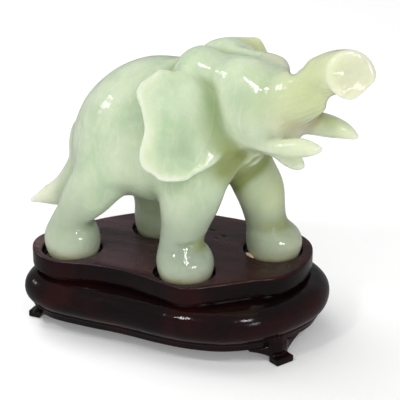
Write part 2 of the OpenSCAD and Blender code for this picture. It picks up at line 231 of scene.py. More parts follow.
@dataclass(frozen=True)
class Limb(Shape):
    """An elliptical profile carried along an axis.

    At each place along the axis, the profile's centre, half sizes and turn follow smooth curves through the
    rows. The distance is how far a point is through the profile, over how fast that share grows there.

    Attributes:
        rows: Place along the axis, two centre offsets, two half sizes and the turn in degrees.
        place: Where the axis starts; its first direction is the axis.
        caps: How far the round ends reach past the first and the last row.
        cup: How much the profile bows across its first half size.
        samples: At how many places along the axis the curves are worked out.
    """

    rows: Array
    place: Place
    caps: tuple[float, float] = (3.0, 3.0)
    cup: float = 0.0
    samples: int = 400

    def table(self) -> tuple[Array, Array]:
        """Give evenly spaced places along the axis, and the profile at each."""
        at = np.linspace(self.rows[0, 0], self.rows[-1, 0], self.samples)
        return at, hermite(self.rows, at).astype(np.float32)

    def box(self) -> tuple[Array, Array]:
        """Give a box about the widest profiles and the caps.

        Returns:
            Its lowest and its highest corner.
        """
        at, profile = self.table()
        centre = self.place.outer(np.column_stack([at, profile[:, :2]]))
        room = np.maximum(profile[:, 2:4].max(axis=1), max(self.caps))[:, None] * 1.1
        return (centre - room).min(axis=0), (centre + room).max(axis=0)

    def distance(self, x: Array, y: Array, z: Array) -> Array:
        """Work the field out from the profile at each point's own place along the axis.

        Args:
            x: Places along the first axis.
            y: Places along the second.
            z: Places along the third.

        Returns:
            The distance at each point of the block.
        """
        along, a, b = self.place.inner(x, y, z)
        at, profile = self.table()
        held = np.clip(along, at[0], at[-1])
        cap = np.where(along < at[0], *self.caps).astype(np.float32)
        spot = (held - at[0]) * np.float32((self.samples - 1.001) / (at[-1] - at[0]))
        i = spot.astype(np.int32)
        t = spot - i
        mid_a, mid_b, half_a, half_b, turn = (c[i] + (c[i + 1] - c[i]) * t for c in profile.T)
        a, b = a - mid_a, b - mid_b
        if np.any(self.rows[:, 5]):
            c, s = np.cos(np.radians(turn)), np.sin(np.radians(turn))
            a, b = a * c + b * s, b * c - a * s
        if self.cup:
            b = b - self.cup * (a * a - 0.4 * half_a * half_a)
        through = [np.abs(a / half_a) + 1e-5, np.abs(b / half_b) + 1e-5, np.abs((along - held) / cap)]
        share = np.sqrt(sum(k ** 2 for k in through))
        growth = np.sqrt(sum((k / h) ** 2 for k, h in zip(through, (half_a, half_b, cap))))
        return (share - 1.0) * share / growth


def limb_rows(*rows: tuple[float, ...]) -> Array:
    """Set a limb's rows, with a round profile where one half size is given and no turn where none is."""
    full = ((*row, row[3]) if len(row) == 4 else row for row in rows)
    return np.array([(*row, 0.0)[:6] for row in full], float)


@dataclass(frozen=True)
class Rope(Shape):
    """A ball carried along a curved path, its radius changing as it goes.

    Attributes:
        rows: Three coordinates and the radius at points along the path.
        place: The frame that the rows are given in.
        samples: How many balls stand for the whole path.
    """

    rows: Rows
    place: Place
    samples: int = 72

    def balls(self) -> Array:
        """Carry the rows smoothly along the path's length.

        Returns:
            Centres and radii of the balls, in the frame of the carving.
        """
        rows = np.array(self.rows, float)
        run = np.concatenate([[0], np.cumsum(np.linalg.norm(np.diff(rows[:, :3], axis=0), axis=1))])
        smooth = hermite(np.column_stack([run, rows]), np.linspace(0, run[-1], self.samples))
        return np.column_stack([self.place.outer(smooth[:, :3]), smooth[:, 3]])

    def box(self) -> tuple[Array, Array]:
        """Give a box about all the balls."""
        balls = self.balls()
        return (balls[:, :3] - balls[:, 3:]).min(axis=0), (balls[:, :3] + balls[:, 3:]).max(axis=0)

    def distance(self, x: Array, y: Array, z: Array) -> Array:
        """Give the distance from the nearest ball.

        Args:
            x: Places along the first axis.
            y: Places along the second.
            z: Places along the third.

        Returns:
            The distance at each point of the block.
        """
        x, y, z = (np.asarray(k, np.float32) for k in (x, y, z))
        best = np.float32(1e6)
        for cx, cy, cz, radius in self.balls().astype(np.float32):
            best = np.minimum(best, np.sqrt((x - cx) ** 2 + (y - cy) ** 2 + (z - cz) ** 2) - radius)
        return best


@dataclass(frozen=True)
class Prism(Shape):
    """A closed outline raised between two heights, with rounded edges.

    Attributes:
        loop: Points of the outline, anticlockwise.
        low: Height of the underside.
        high: Height of the top.
        edge: Radius of the rounded edges.
        place: The frame that the outline is given in; its third direction is the height.
    """

    loop: Array
    low: float
    high: float
    edge: float = 0.5
    place: Place = field(default_factory=Place)

    def box(self) -> tuple[Array, Array]:
        """Give a box about the outline at both heights.

        Returns:
            Its lowest and its highest corner.
        """
        corners = np.concatenate([self.place.outer(np.column_stack([self.loop, np.full(len(self.loop), h)]))
                                  for h in (self.low, self.high)])
        return corners.min(axis=0), corners.max(axis=0)

    def outline(self, x: Array, y: Array) -> Array:
        """Give the distance from the outline, by its nearest edge and by how often a ray crosses it.

        Args:
            x: Places along the outline's first direction.
            y: Places along its second.

        Returns:
            The distance at each point, below zero inside.
        """
        nearest, inside = np.float32(1e12), np.zeros(np.broadcast(x, y).shape, bool)
        for (ax, ay), (bx, by) in zip(self.loop, np.roll(self.loop, -1, axis=0)):
            ex, ey = bx - ax, by - ay
            t = np.clip(((x - ax) * ex + (y - ay) * ey) / (ex * ex + ey * ey + 1e-12), 0, 1)
            nearest = np.minimum(nearest, (x - ax - t * ex) ** 2 + (y - ay - t * ey) ** 2)
            if ey:
                inside ^= ((ay > y) != (by > y)) & (x < ax + (y - ay) * ex / ey)
        return np.where(inside, -1, 1) * np.sqrt(nearest)

    def distance(self, x: Array, y: Array, z: Array) -> Array:
        """Give the distance from the raised outline, drawn in by the edge radius and grown back.

        Args:
            x: Places along the first axis.
            y: Places along the second.
            z: Places along the third.

        Returns:
            The distance at each point of the block.
        """
        if np.array_equal(self.place.axes, np.eye(3)):
            flat = self.outline(x - self.place.origin[0], y - self.place.origin[1])
            height = z - self.place.origin[2]
        else:
            across, beside, height = self.place.inner(x, y, z)
            flat = self.outline(across, beside)
        side = flat + self.edge
        top = np.maximum(self.low - height, height - self.high) + self.edge
        out = np.sqrt(np.maximum(side, 0) ** 2 + np.maximum(top, 0) ** 2)
        return (out + np.minimum(np.maximum(side, top), 0) - self.edge).astype(np.float32)


@dataclass
class Carving:
    """A block of points whose distance field is joined and cut, then skinned.

    Attributes:
        low: Lowest corner of the block.
        high: Highest corner.
        step: Spacing of its points.
        axis: Places of its points along each axis.
        values: The field at its points.
    """

    low: Array
    high: Array
    step: float
    axis: list[Array] = field(init=False)
    values: Array = field(init=False)

    def __post_init__(self) -> None:
        """Lay the points out, all of them far outside."""
        self.axis = [np.arange(a, b, self.step) for a, b in zip(self.low, self.high)]
        self.values = np.full([len(a) for a in self.axis], OUTSIDE, np.float32)

    def near(self, low: Array, high: Array, room: float) -> tuple[tuple[slice, ...], list[Array]]:
        """Find the points in and about a box.

        Args:
            low: Lowest corner.
            high: Highest corner.
            room: Width of the margin about it.

        Returns:
            Where they are in the block, and their places along each axis.
        """
        where = tuple(slice(*np.searchsorted(a, (lo - room, hi + room)))
                      for a, lo, hi in zip(self.axis, low, high))
        shape = ((-1, 1, 1), (1, -1, 1), (1, 1, -1))
        return where, [a[w].reshape(s) for a, w, s in zip(self.axis, where, shape)]

    def join(self, shape: Shape, blend: float) -> None:
        """Add a solid, with a fillet of the blend's width."""
        where, points = self.near(*shape.box(), 2 * blend + ROOM)
        self.values[where] = smooth_min(self.values[where], shape.distance(*points), blend)

    def cut(self, shape: Shape, blend: float) -> None:
        """Take a solid away, with edges rounded to the blend's width."""
        where, points = self.near(*shape.box(), 2 * blend + ROOM)
        self.values[where] = -smooth_min(-self.values[where], shape.distance(*points), blend)

    def saw(self, point: Array, normal: Array, reach: float, blend: float) -> None:
        """Saw the stone off along a plane.

        Args:
            point: A point on the plane.
            normal: The way that the sawn face looks.
            reach: How far about the point the saw goes.
            blend: Width of the rounded edge.
        """
        where, points = self.near(point - reach, point + reach, 0.0)
        height = sum(n * (k - p) for n, k, p in zip(normal, points, point)).astype(np.float32)
        self.values[where] = -smooth_min(-self.values[where], -height, blend)

    def soften(self) -> None:
        """Even the field out once along each axis, a quarter from either side."""
        self.values = np.clip(self.values, -HELD, HELD)
        for axis in range(3):
            ends = [(1, 1) if k == axis else (0, 0) for k in range(3)]
            wide, n = np.pad(self.values, ends, mode="edge"), self.values.shape[axis]
            one, two, three = (np.take(wide, range(k, k + n), axis) for k in range(3))
            self.values = (one + 2 * two + three) / 4

    def crowding(self, points: Array, reach: float) -> Array:
        """Give the share of stone in a soft cube about each point.

        It is about half on a flat face, more in a hollow and less on a thin form.

        Args:
            points: Points in the frame of the carving.
            reach: Half width of the cube.

        Returns:
            One share per point.
        """
        solid, n = np.clip(0.5 - self.values / self.step, 0.0, 1.0), max(1, round(reach / self.step))
        for axis in (0, 1, 2, 0, 1, 2):
            ends = [(n + 1, n) if k == axis else (0, 0) for k in range(3)]
            total = np.cumsum(np.pad(solid, ends), axis=axis, dtype=np.float64)
            size = solid.shape[axis]
            later = np.take(total, range(2 * n + 1, 2 * n + 1 + size), axis)
            solid = (later - np.take(total, range(size), axis)) / (2 * n + 1)
        return self.sample(solid, (points - np.array([k[0] for k in self.axis])) / self.step)

    def skin(self) -> tuple[Array, Array]:
        """Mesh the zero level of the field.

        Each cell that the surface crosses gets one point, the mean of the crossings on its edges, and each
        crossed edge gets one face between the four cells about it. The points then slide onto the level down
        its slope.

        Returns:
            Vertices, and faces as rows of four vertex numbers.
        """
        f, inside = self.values, self.values < 0
        cells = tuple(n - 1 for n in f.shape)
        count, total, crossed = np.zeros(cells, np.float32), np.zeros((3, *cells), np.float32), []
        for axis in range(3):
            near = tuple(slice(0, -1) if k == axis else slice(None) for k in range(3))
            far = tuple(slice(1, None) if k == axis else slice(None) for k in range(3))
            hit = inside[near] != inside[far]
            crossed.append((hit, inside[near]))
            share = np.where(hit, f[near] / np.where(hit, f[near] - f[far], 1.0), 0.0)
            others = [k for k in range(3) if k != axis]
            for corner in np.ndindex(2, 2):
                pick = [slice(None)] * 3
                for k, c in zip(others, corner):
                    pick[k] = slice(c, c + cells[k])
                edge = hit[tuple(pick)]
                count += edge
                total[axis] += share[tuple(pick)]
                for k, c in zip(others, corner):
                    total[k] += c * edge
        active = count > 0
        number = np.full(cells, -1, np.int64)
        number[active] = np.arange(active.sum())
        spot = np.stack(np.nonzero(active), axis=1) + (total[:, active] / count[active]).T
        return self.settle(spot), self.quads(crossed, number)

    @staticmethod
    def quads(crossed: list[tuple[Array, Array]], number: Array) -> Array:
        """Join the points of the four cells about each crossed edge, facing outwards.

        Args:
            crossed: For each axis, which edges are crossed, and whether an edge's near end is inside.
            number: Vertex number of each cell.

        Returns:
            Faces as rows of four vertex numbers.
        """
        faces = []
        for axis, (hit, near_inside) in enumerate(crossed):
            edge = np.stack(np.nonzero(hit), axis=1)
            corners = []
            for back in ((1, 1), (0, 1), (0, 0), (1, 0)):
                cell = edge.copy()
                cell[:, (axis + 1) % 3] -= back[0]
                cell[:, (axis + 2) % 3] -= back[1]
                corners.append(number[tuple(cell.T)])
            quad = np.stack(corners, axis=1)
            flip = ~near_inside[tuple(edge.T)]
            quad[flip] = quad[flip][:, ::-1]
            faces.append(quad)
        return np.concatenate(faces)

    def settle(self, spot: Array, rounds: int = 3) -> Array:
        """Slide points onto the zero level.

        Args:
            spot: Points, counted in cells.
            rounds: How often each one steps down the slope by its own height.

        Returns:
            The points in the frame of the carving.
        """
        slope = np.gradient(self.values)
        for _ in range(rounds):
            height = self.sample(self.values, spot)
            down = np.stack([self.sample(g, spot) for g in slope], axis=1)
            steep = np.maximum((down * down).sum(axis=1), 1e-4)
            spot = spot - np.clip(height / steep, -0.5, 0.5)[:, None] * down
        return spot * self.step + np.array([a[0] for a in self.axis])

    @staticmethod
    def sample(grid: Array, spot: Array) -> Array:
        """Read a grid between its points, in linear shares along the three axes.

        Args:
            grid: Values at the grid's points.
            spot: Where to read it, counted in cells.

        Returns:
            One value per spot.
        """
        i = np.clip(spot.astype(np.int64), 0, np.array(grid.shape) - 2)
        t = spot - i
        value = np.zeros(len(spot))
        for corner in np.ndindex(2, 2, 2):
            share = np.prod(np.where(np.array(corner) == 1, t, 1.0 - t), axis=1)
            value += share * grid[tuple((i + corner).T)]
        return value


def relax(points: Array, faces: Array, rounds: int) -> Array:
    """Even a mesh out without shrinking it.

    Each round moves every point half way to the mean of its neighbours, then a little further back.

    Args:
        points: Vertices.
        faces: Rows of four vertex numbers.
        rounds: How often.

    Returns:
        The moved vertices.
    """
    one, two = faces.ravel(), np.roll(faces, -1, axis=1).ravel()
    one, two, n = np.concatenate([one, two]), np.concatenate([two, one]), len(points)
    degree = np.bincount(one, minlength=n)[:, None]
    for _ in range(rounds):
        for pull in (0.5, -0.52):
            mean = np.stack([np.bincount(one, points[two, k], n) for k in range(3)], axis=1) / degree
            points = points + pull * (mean - points)
    return points


def carve(place: Place, size: tuple[Array | tuple, Array | tuple], step: float) -> Carving:
    """Start a carving that is a little larger than a solid.

    Args:
        place: Frame of the carving in the part's frame.
        size: Lowest and highest corner of the solid, in the carving's frame.
        step: Spacing of the points.

    Returns:
        The empty carving.
    """
    log.info("carving at %s, step %.2f mm", np.round(place.origin, 1), step)
    margin = 3 * step
    return Carving(np.asarray(size[0]) - margin, np.asarray(size[1]) + margin, step)


# Pieces


def make_piece(name: str, points: Array, faces: list[list[int]], finish: Material) -> Piece:
    """Put a surface into a mesh of its own at the origin.

    Args:
        name: The piece's name.
        points: Vertices in millimetres, in the part's frame.
        faces: Rows of vertex numbers.
        finish: Its material.

    Returns:
        The new object.
    """
    mesh = bpy.data.meshes.new(name)
    mesh.from_pydata((points * MM).tolist(), [], faces)
    mesh.polygons.foreach_set("use_smooth", np.ones(len(mesh.polygons), bool))
    mesh.materials.append(finish)
    mesh.update()
    piece = bpy.data.objects.new(name, mesh)
    bpy.context.scene.collection.objects.link(piece)
    return piece


def dress(piece: Piece, body: str, slot: str, *nodes: str) -> None:
    """Say which body a piece rides on and which solids it stands for.

    Args:
        piece: The piece.
        body: Name of the body.
        slot: Name of the material slot; not used.
        nodes: Names of the solids.
    """
    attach(piece, body)
    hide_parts(*nodes)
    log.info("%s has %d faces and stands for %s", piece.name, len(piece.data.polygons), ", ".join(nodes))


@dataclass(frozen=True)
class Fillets:
    """Widths in millimetres over which the figure's forms run into each other."""

    body: float = 7.0
    leg: float = 6.0
    thigh: float = 3.0
    tail: float = 4.0
    skull: float = 8.0
    jaw: float = 5.0
    trunk: float = 5.0
    dome: float = 1.6
    ear_root: float = 3.0
    brow: float = 3.6
    tusk: float = 2.0
    valley: float = 6.0
    ear: float = 4.5
    eye: float = 2.0
    fold: float = 2.6
    waist: float = 1.6
    facet: float = 0.3
    trunk_end: float = 1.2
    trunk_clip: float = 1.0
    trunk_dish: float = 0.6
    sole: float = 0.8


@dataclass
class Elephant:
    """The carved figure: one stone whose limbs run into each other.

    Attributes:
        finish: Material of the stone.
        place: Middle of the four feet at the level of the soles, in the part's frame.
        head_at: Middle of the head, from there.
        head_turn: How far the head turns to the left, in degrees.
        low: Lowest corner of the block that the figure is carved from.
        high: Highest corner.
        step: Spacing of the carving's points.
        quick_step: Their spacing in a quick trial.
        smoothing: How many rounds the skin is evened out.
        crowding: Attributes that say how much stone is about a point, and how far about it they look.
        fillet: Widths of the fillets.
    """

    finish: Material
    place: Place = field(default_factory=lambda: Place(np.array([*FEET_AT, 30.05])))
    head_at: tuple[float, float, float] = (22.0, 0.0, 70.0)
    head_turn: float = -22.0
    low: tuple[float, float, float] = (-67.0, -42.0, -2.5)
    high: tuple[float, float, float] = (92.0, 40.0, 106.0)
    step: float = 0.85
    quick_step: float = 1.5
    smoothing: int = 4
    crowding: tuple[tuple[str, float], ...] = (("hollow", 5.0), ("depth", 8.0))
    fillet: Fillets = Fillets()

    @property
    def head(self) -> Place:
        """The head's own frame: forward, left and up."""
        return Place(np.array(self.head_at)).turned(self.head_turn)

    def barrel(self) -> Limb:
        """Round body from the rump, along the back and the belly, to the chest."""
        return Limb(limb_rows(
            (-41.0, 0, 39.4, 6.0, 10.0), (-35.2, 0, 41.5, 12.8, 19.2), (-26.9, 0, 45.7, 19.6, 24.3),
            (-15.1, 0, 50.8, 24.5, 26.6), (-0.4, 0, 52.2, 25.0, 27.7), (13.0, 0, 53.9, 23.5, 24.3),
            (24.8, 0, 55.8, 20.0, 19.1), (34.5, 0, 56.1, 13.0, 12.0)), Place(), caps=(2.2, 4.0))

    def leg(self, leg: Leg) -> Limb:
        """Leg from a round foot, over the narrow ankle, to the hip inside the body.

        The levels give the height, the radius, the share of the way from foot to hip, and a step forward.

        Args:
            leg: Which one.

        Returns:
            The leg.
        """
        foot_x, foot_y, hip_x, hip_y, girth = leg.value
        rows = []
        levels = ((-1.0, 8.6, 0, 0.5), (0.8, 9.5, 0, 0.5), (4.6, 10.7, 0, 0.5), (8.5, 10.8, 0, 0.3),
                  (11.6, 9.9, 0.03, -0.3), (14.0, 8.6, 0.08, -1.4), (17.0, 8.5, 0.16, -1.5),
                  (21.0, 9.2, 0.28, -0.9), (30.1, 11.7, 0.55, 0), (43.0, 13.0, 1, 0), (54.0, 9.1, 1, 0))
        for height, radius, lean, step in levels:
            half = radius * (1 - lean + lean * girth)
            forward = foot_x + (hip_x - foot_x) * lean + step
            rows.append((height, forward, foot_y + (hip_y - foot_y) * lean, half))
        return Limb(limb_rows(*rows), Place().led_by(2, 0))

    def tail(self) -> Limb:
        """Flat tail that hangs back from the rump to a point."""
        return Limb(limb_rows(
            (38.0, 0, 27.0, 6.5, 15.0), (45.0, 0, 22.5, 5.6, 10.4), (48.3, 0, 19.8, 5.0, 7.8),
            (51.5, 0, 17.6, 4.4, 5.9), (57.2, 0, 14.9, 3.3, 3.6), (61.0, 0, 12.9, 2.2, 2.0),
            (64.2, 0, 11.1, 1.2, 0.8)), Place().led_by(0, 1, -1.0), caps=(3.0, 0.8))

    def skull(self) -> Limb:
        """Round head from the neck to the root of the raised trunk."""
        return Limb(limb_rows(
            (-14.0, 0, -1.8, 10.8, 11.1), (-6.0, 0, -0.9, 16.6, 17.0), (5.0, 0, 0, 18.0, 18.1),
            (15.0, 0, 0.4, 17.6, 17.6), (24.0, 0, 0.7, 15.8, 15.4), (31.0, 0, 1.1, 13.0, 12.2),
            (34.0, 0, 1.1, 9.0, 8.5)), self.head)

    def bulges(self, side: Side) -> list[tuple[Rope, float]]:
        """Dome, ear root and brow of one side of the head, set further back and lower on the left.

        Args:
            side: Which side.

        Returns:
            Each form with the width of its fillet.
        """
        s = side.value
        if side is Side.RIGHT:
            dome = ((-12.0, -8.0, 2.0, 4.6), (-7.4, -8.0, 6.2, 8.2), (-1.6, -8.0, 9.0, 9.8),
                    (4.4, -8.0, 8.0, 9.0), (11.8, -8.0, 6.7, 4.4))
        else:
            dome = ((-16.0, 8.0, 2.7, 5.9), (-11.0, 8.0, 5.6, 10.0), (-6.0, 8.0, 6.8, 10.8),
                    (1.4, 8.0, 6.0, 8.8), (9.8, 7.9, 5.0, 4.0))
        back, drop = (0.0, 0.0) if side is Side.RIGHT else (5.0, 2.6)
        root = ((-1.8 - back, 9.0 * s, 8.8 - drop, 9.2 - 0.6 * drop),
                (1.0 - back, 14.0 * s, 6.8 - drop, 7.2 - 0.8 * drop),
                (3.8, 16.5 * s, 2.0 - drop, 4.5), (6.0, 16.5 * s, -4.0, 3.0))
        low = 0.0 if side is Side.RIGHT else 2.2
        brow = ((10.2, 6.5 * s, 8.0 - low, 5.0), (15.5, 6.6 * s, 10.2 - low, 8.4),
                (22.0, 6.4 * s, 9.8 - low, 7.8), (27.0, 6.2 * s, 8.3 - low, 5.5))
        width = self.fillet
        forms = ((dome, width.dome), (root, width.ear_root), (brow, width.brow))
        return [(Rope(rows, self.head), blend) for rows, blend in forms]

    def jaw(self) -> Rope:
        """Lower jaw with its small hanging lip."""
        return Rope(((5, 0, -7, 11), (16, 0, -8, 9.5), (25, -0.5, -9.5, 6.2), (31, -1.5, -12.2, 4.2),
                     (36, -2, -14.2, 3.5), (40, -2, -15.4, 2.6), (42.4, -2, -15.8, 1.4)), self.head)

    def trunk(self) -> Rope:
        """Trunk raised from the brow, bent forward and to the right at its flared end."""
        return Rope(((26, 0, 1, 13), (35.4, 0, 7.2, 10.4), (44.4, 0, 13.4, 8.9), (51.4, -0.8, 19.6, 7.3),
                     (58.8, -2.6, 23.4, 7.2), (65.0, -4.2, 24.4, 8.0), (70.0, -5.8, 24.5, 8.5)), self.head)

    def tusk(self, side: Side) -> Rope:
        """Leaf-shaped tusk of one side.

        Args:
            side: Which side.

        Returns:
            The tusk.
        """
        if side is Side.RIGHT:
            rows = ((24, -8.2, -10, 2.6), (30, -8.8, -9.6, 2.5), (36, -9, -8.8, 2.8), (43, -9, -7.1, 3.4),
                    (49, -9, -5.3, 3.4), (54.5, -9, -4.1, 2.2), (59, -9, -3.1, 0.7))
        else:
            rows = ((24, 8.2, -6.5, 3.4), (30, 8.8, -5.2, 3.8), (38, 9, -3.7, 4.3), (45, 9, -2.9, 4.0),
                    (51, 9, -2.6, 3.1), (55.5, 9, -3, 1.9), (59, 9, -3.5, 0.7))
        return Rope(rows, self.head)

    def ear(self, side: Side) -> Limb:
        """Broad ear, cut level by level from its top down.

        Each level runs from its root at the head to its outer edge, bows hollow towards the front, and near
        the bottom is set forward into a flared lip. The rows give the drop from the top, the root and the
        outer edge as ways forward and out of the head's middle, half the thickness, and how far the lip is
        set forward.

        Args:
            side: Which side.

        Returns:
            The ear.
        """
        s, rows = side.value, []
        if side is Side.RIGHT:
            top = ((1.6, -3.5, 22.5, -7.0, 27.6, 2.0, 0.0), (3.4, 0.0, 17.5, -8.4, 31.8, 2.8, 0.0),
                   (6.4, 4.5, 14.0, -8.2, 35.5, 3.1, 0.0), (12.2, 7.0, 13.0, -3.8, 37.0, 3.1, 0.0))
        else:
            top = ((-1.6, -6.0, 13.0, -3.6, 22.0, 2.0, 0.0), (1.5, -4.5, 13.0, -2.4, 23.0, 2.4, 0.0),
                   (5.0, -2.0, 13.5, -2.2, 25.0, 2.6, 0.0), (8.0, 2.5, 14.0, -6.0, 31.0, 2.8, 0.0),
                   (11.5, 6.0, 14.0, -7.5, 35.7, 3.0, 0.0), (15.0, 8.5, 13.0, -3.0, 37.0, 3.0, 0.0))
        lower = ((20.0, 9.0, 12.0, -2.3, 37.0, 2.9, 0.0), (25.0, 10.0, 12.0, -4.4, 36.9, 2.8, 0.5),
                 (29.0, 10.0, 12.0, -6.2, 36.6, 2.6, 1.8), (32.0, 9.5, 13.5, -6.6, 36.0, 2.6, 3.2),
                 (34.8, 8.6, 17.0, -5.6, 34.6, 2.5, 4.6), (36.8, 6.5, 22.5, -1.5, 32.4, 2.1, 5.6))
        for drop, root_x, root_y, edge_x, edge_y, half, lip in top + lower:
            way_x, way_y = edge_x - root_x, edge_y - root_y
            reach = np.hypot(way_x, way_y)
            mid_x = (root_x + edge_x) / 2 + lip * way_y / reach
            mid_y = (root_y + edge_y) / 2 - lip * way_x / reach
            turn = np.degrees(np.arctan2(way_y, way_x))
            rows.append((drop, mid_x, s * mid_y, reach / 2, half, s * turn))
        place = self.head.moved(0, 0, 13.5).led_by(2, 0, -1.0)
        return Limb(limb_rows(*rows), place, caps=(1.2, 1.2), cup=-0.004 * s)

    def valley(self, side: Side) -> Rope:
        """Groove between the cheek and the ear."""
        s = side.value
        return Rope(((5.5, 20.5 * s, 11.5, 3.0), (8.0, 20.5 * s, 7.0, 5.0), (10.2, 20.5 * s, 1.0, 6.0),
                     (12.2, 20.3 * s, -5.7, 6.0), (15.2, 19.0 * s, -11.5, 5.0), (18.5, 17.0 * s, -16.5, 3.6)),
                    self.head)

    def thigh(self) -> Rope:
        """Full front of the right thigh over the belly's gap."""
        rows = ((-25.6, -19.6, 22.9, 5.0), (-21.4, -20.6, 27.8, 6.0), (-17.2, -18.6, 31.1, 5.0))
        return Rope(rows, Place())

    def waists(self) -> list[Rope]:
        """Hollow under the trunk behind its lip, and two that part the trunk's root from the left dome.

        Returns:
            The three shapes to cut away.
        """
        under = ((75.4, -25.6, 82.0, 3.2), (72.4, -17.7, 79.0, 3.2), (69.0, -8.8, 75.7, 3.2))
        low = ((60.3, -27.2, 91.7, 1.3), (57.4, -20.1, 89.2, 1.3), (45.1, 9.7, 78.5, 1.3))
        high = ((61.0, -25.7, 95.1, 3.0), (58.1, -18.7, 92.6, 3.0), (45.8, 11.2, 82.2, 3.0))
        return [Rope(rows, Place()) for rows in (under, low, high)]

    def folds(self) -> list[Rope]:
        """Two creases in the chest's skin, one up to the mouth's right corner, and the parting of the domes.

        Returns:
            The three shapes to cut away.
        """
        upper = ((41.5, -20.4, 57.2, 0.5), (38.4, -17.8, 54.4, 1.2), (33.9, -13.8, 49.4, 1.6),
                 (30.6, -14.9, 45.5, 1.0))
        lower = ((38.7, -6.1, 48.0, 1.2), (33.4, -6.0, 42.9, 1.6), (28.2, -0.9, 36.9, 1.0))
        parting = ((-14.0, -0.5, 13.5, 2.0), (-7.0, -0.5, 17.2, 3.2), (0.0, 0.0, 18.0, 3.8),
                   (7.0, 0.8, 17.6, 3.4), (13.0, 1.6, 17.0, 2.4))
        return [Rope(upper, Place()), Rope(lower, Place()), Rope(parting, self.head)]

    def eye(self, side: Side) -> Rope:
        """Eye as a small long bulge under the brow, its middle sunk below the skin.

        Args:
            side: Which side.

        Returns:
            The eye.
        """
        s, sunk, radius = side.value, 2.2, 2.8
        normal, along = unit(0.25, 0.68 * s, 0.69), unit(0.9, -0.3 * s, -0.1)
        middle = np.array([24.5, 11.0 * s, 12.0]) - sunk * normal
        return Rope(tuple((*(middle + k * along), radius) for k in (-1.4, 0.0, 1.4)), self.head, 12)

    def facets(self, stone: Carving) -> None:
        """Grind small flats, left from polishing, over the right eye and on the right front foot.

        Args:
            stone: The carving.
        """
        reach = 5.0
        for spot, way, depth in (((41.4, -21.5, 82.8), (0.06, -0.86, 0.50), 0.06),
                                 ((18.5, -23.4, 12.9), (0.51, -0.64, 0.575), 0.25)):
            normal = unit(*way)
            stone.saw(np.array(spot) - depth * normal, normal, reach, self.fillet.facet)

    def end_of_trunk(self, stone: Carving) -> None:
        """Saw the trunk's end off square, clip its lower edge to a point, and hollow it unevenly.

        Args:
            stone: The carving.
        """
        width = self.fillet
        normal = unit(0.80, -0.52, 0.28)
        point = np.array([66.8, -6.0, 25.0])
        stone.saw(self.head.outer(point), normal @ self.head.axes, 16.0, width.trunk_end)
        right = unit(-normal[1], normal[0], 0.0)
        up = np.cross(normal, right)
        clip = unit(*(0.645 * right - 0.766 * up))
        corner = self.head.outer(point + 1.0 * right + 7.4 * clip)
        stone.saw(corner, clip @ self.head.axes, 11.0, width.trunk_clip)
        dish = ((0.5, 0.5, 17.0, 1.0), (-4.6, 1.2, 3.2, 0.8), (-0.2, -3.4, 2.4, 0.7),
                (4.4, -3.6, 3.0, 0.9), (3.0, 3.6, 4.5, 0.6), (1.6, -6.6, 2.2, 0.8))
        for across, rise, radius, depth in dish:
            middle = point + across * right + rise * up + (radius - depth) * normal
            rows = tuple((*(middle + k * right), radius) for k in (-1.0, 0.0, 1.0))
            stone.cut(Rope(rows, self.head, 5), width.trunk_dish)

    def side_of_head(self, stone: Carving, side: Side) -> None:
        """Add the bulges, tusk, ear and eye of one side, and the groove before the ear.

        Args:
            stone: The carving.
            side: Which side.
        """
        width = self.fillet
        for bulge, blend in self.bulges(side):
            stone.join(bulge, blend)
        stone.join(self.tusk(side), width.tusk)
        stone.cut(self.valley(side), width.valley)
        stone.join(self.ear(side), width.ear)
        stone.join(self.eye(side), width.eye)

    def make(self) -> None:
        """Carve the figure and hand it over."""
        width = self.fillet
        stone = carve(self.place, (self.low, self.high), self.step)
        stone.join(self.barrel(), width.body)
        for leg in Leg:
            stone.join(self.leg(leg), width.leg)
        forms = ((self.thigh(), width.thigh), (self.tail(), width.tail), (self.skull(), width.skull),
                 (self.jaw(), width.jaw), (self.trunk(), width.trunk))
        for form, blend in forms:
            stone.join(form, blend)
        for side in Side:
            self.side_of_head(stone, side)
        for fold in self.folds():
            stone.cut(fold, width.fold)
        for waist in self.waists():
            stone.cut(waist, width.waist)
        self.facets(stone)
        self.end_of_trunk(stone)
        everywhere = 200.0
        stone.saw(np.zeros(3), np.array([0.0, 0.0, -1.0]), everywhere, width.sole)
        stone.soften()
        points, faces = stone.skin()
        points = relax(points, faces, self.smoothing)
        piece = make_piece("elephant", self.place.outer(points), faces.tolist(), self.finish)
        for name, reach in self.crowding:
            share = piece.data.attributes.new(name, "FLOAT", "POINT")
            share.data.foreach_set("value", stone.crowding(points, reach).astype(np.float32))
        dress(piece, "figure", "jade", "jade_elephant")


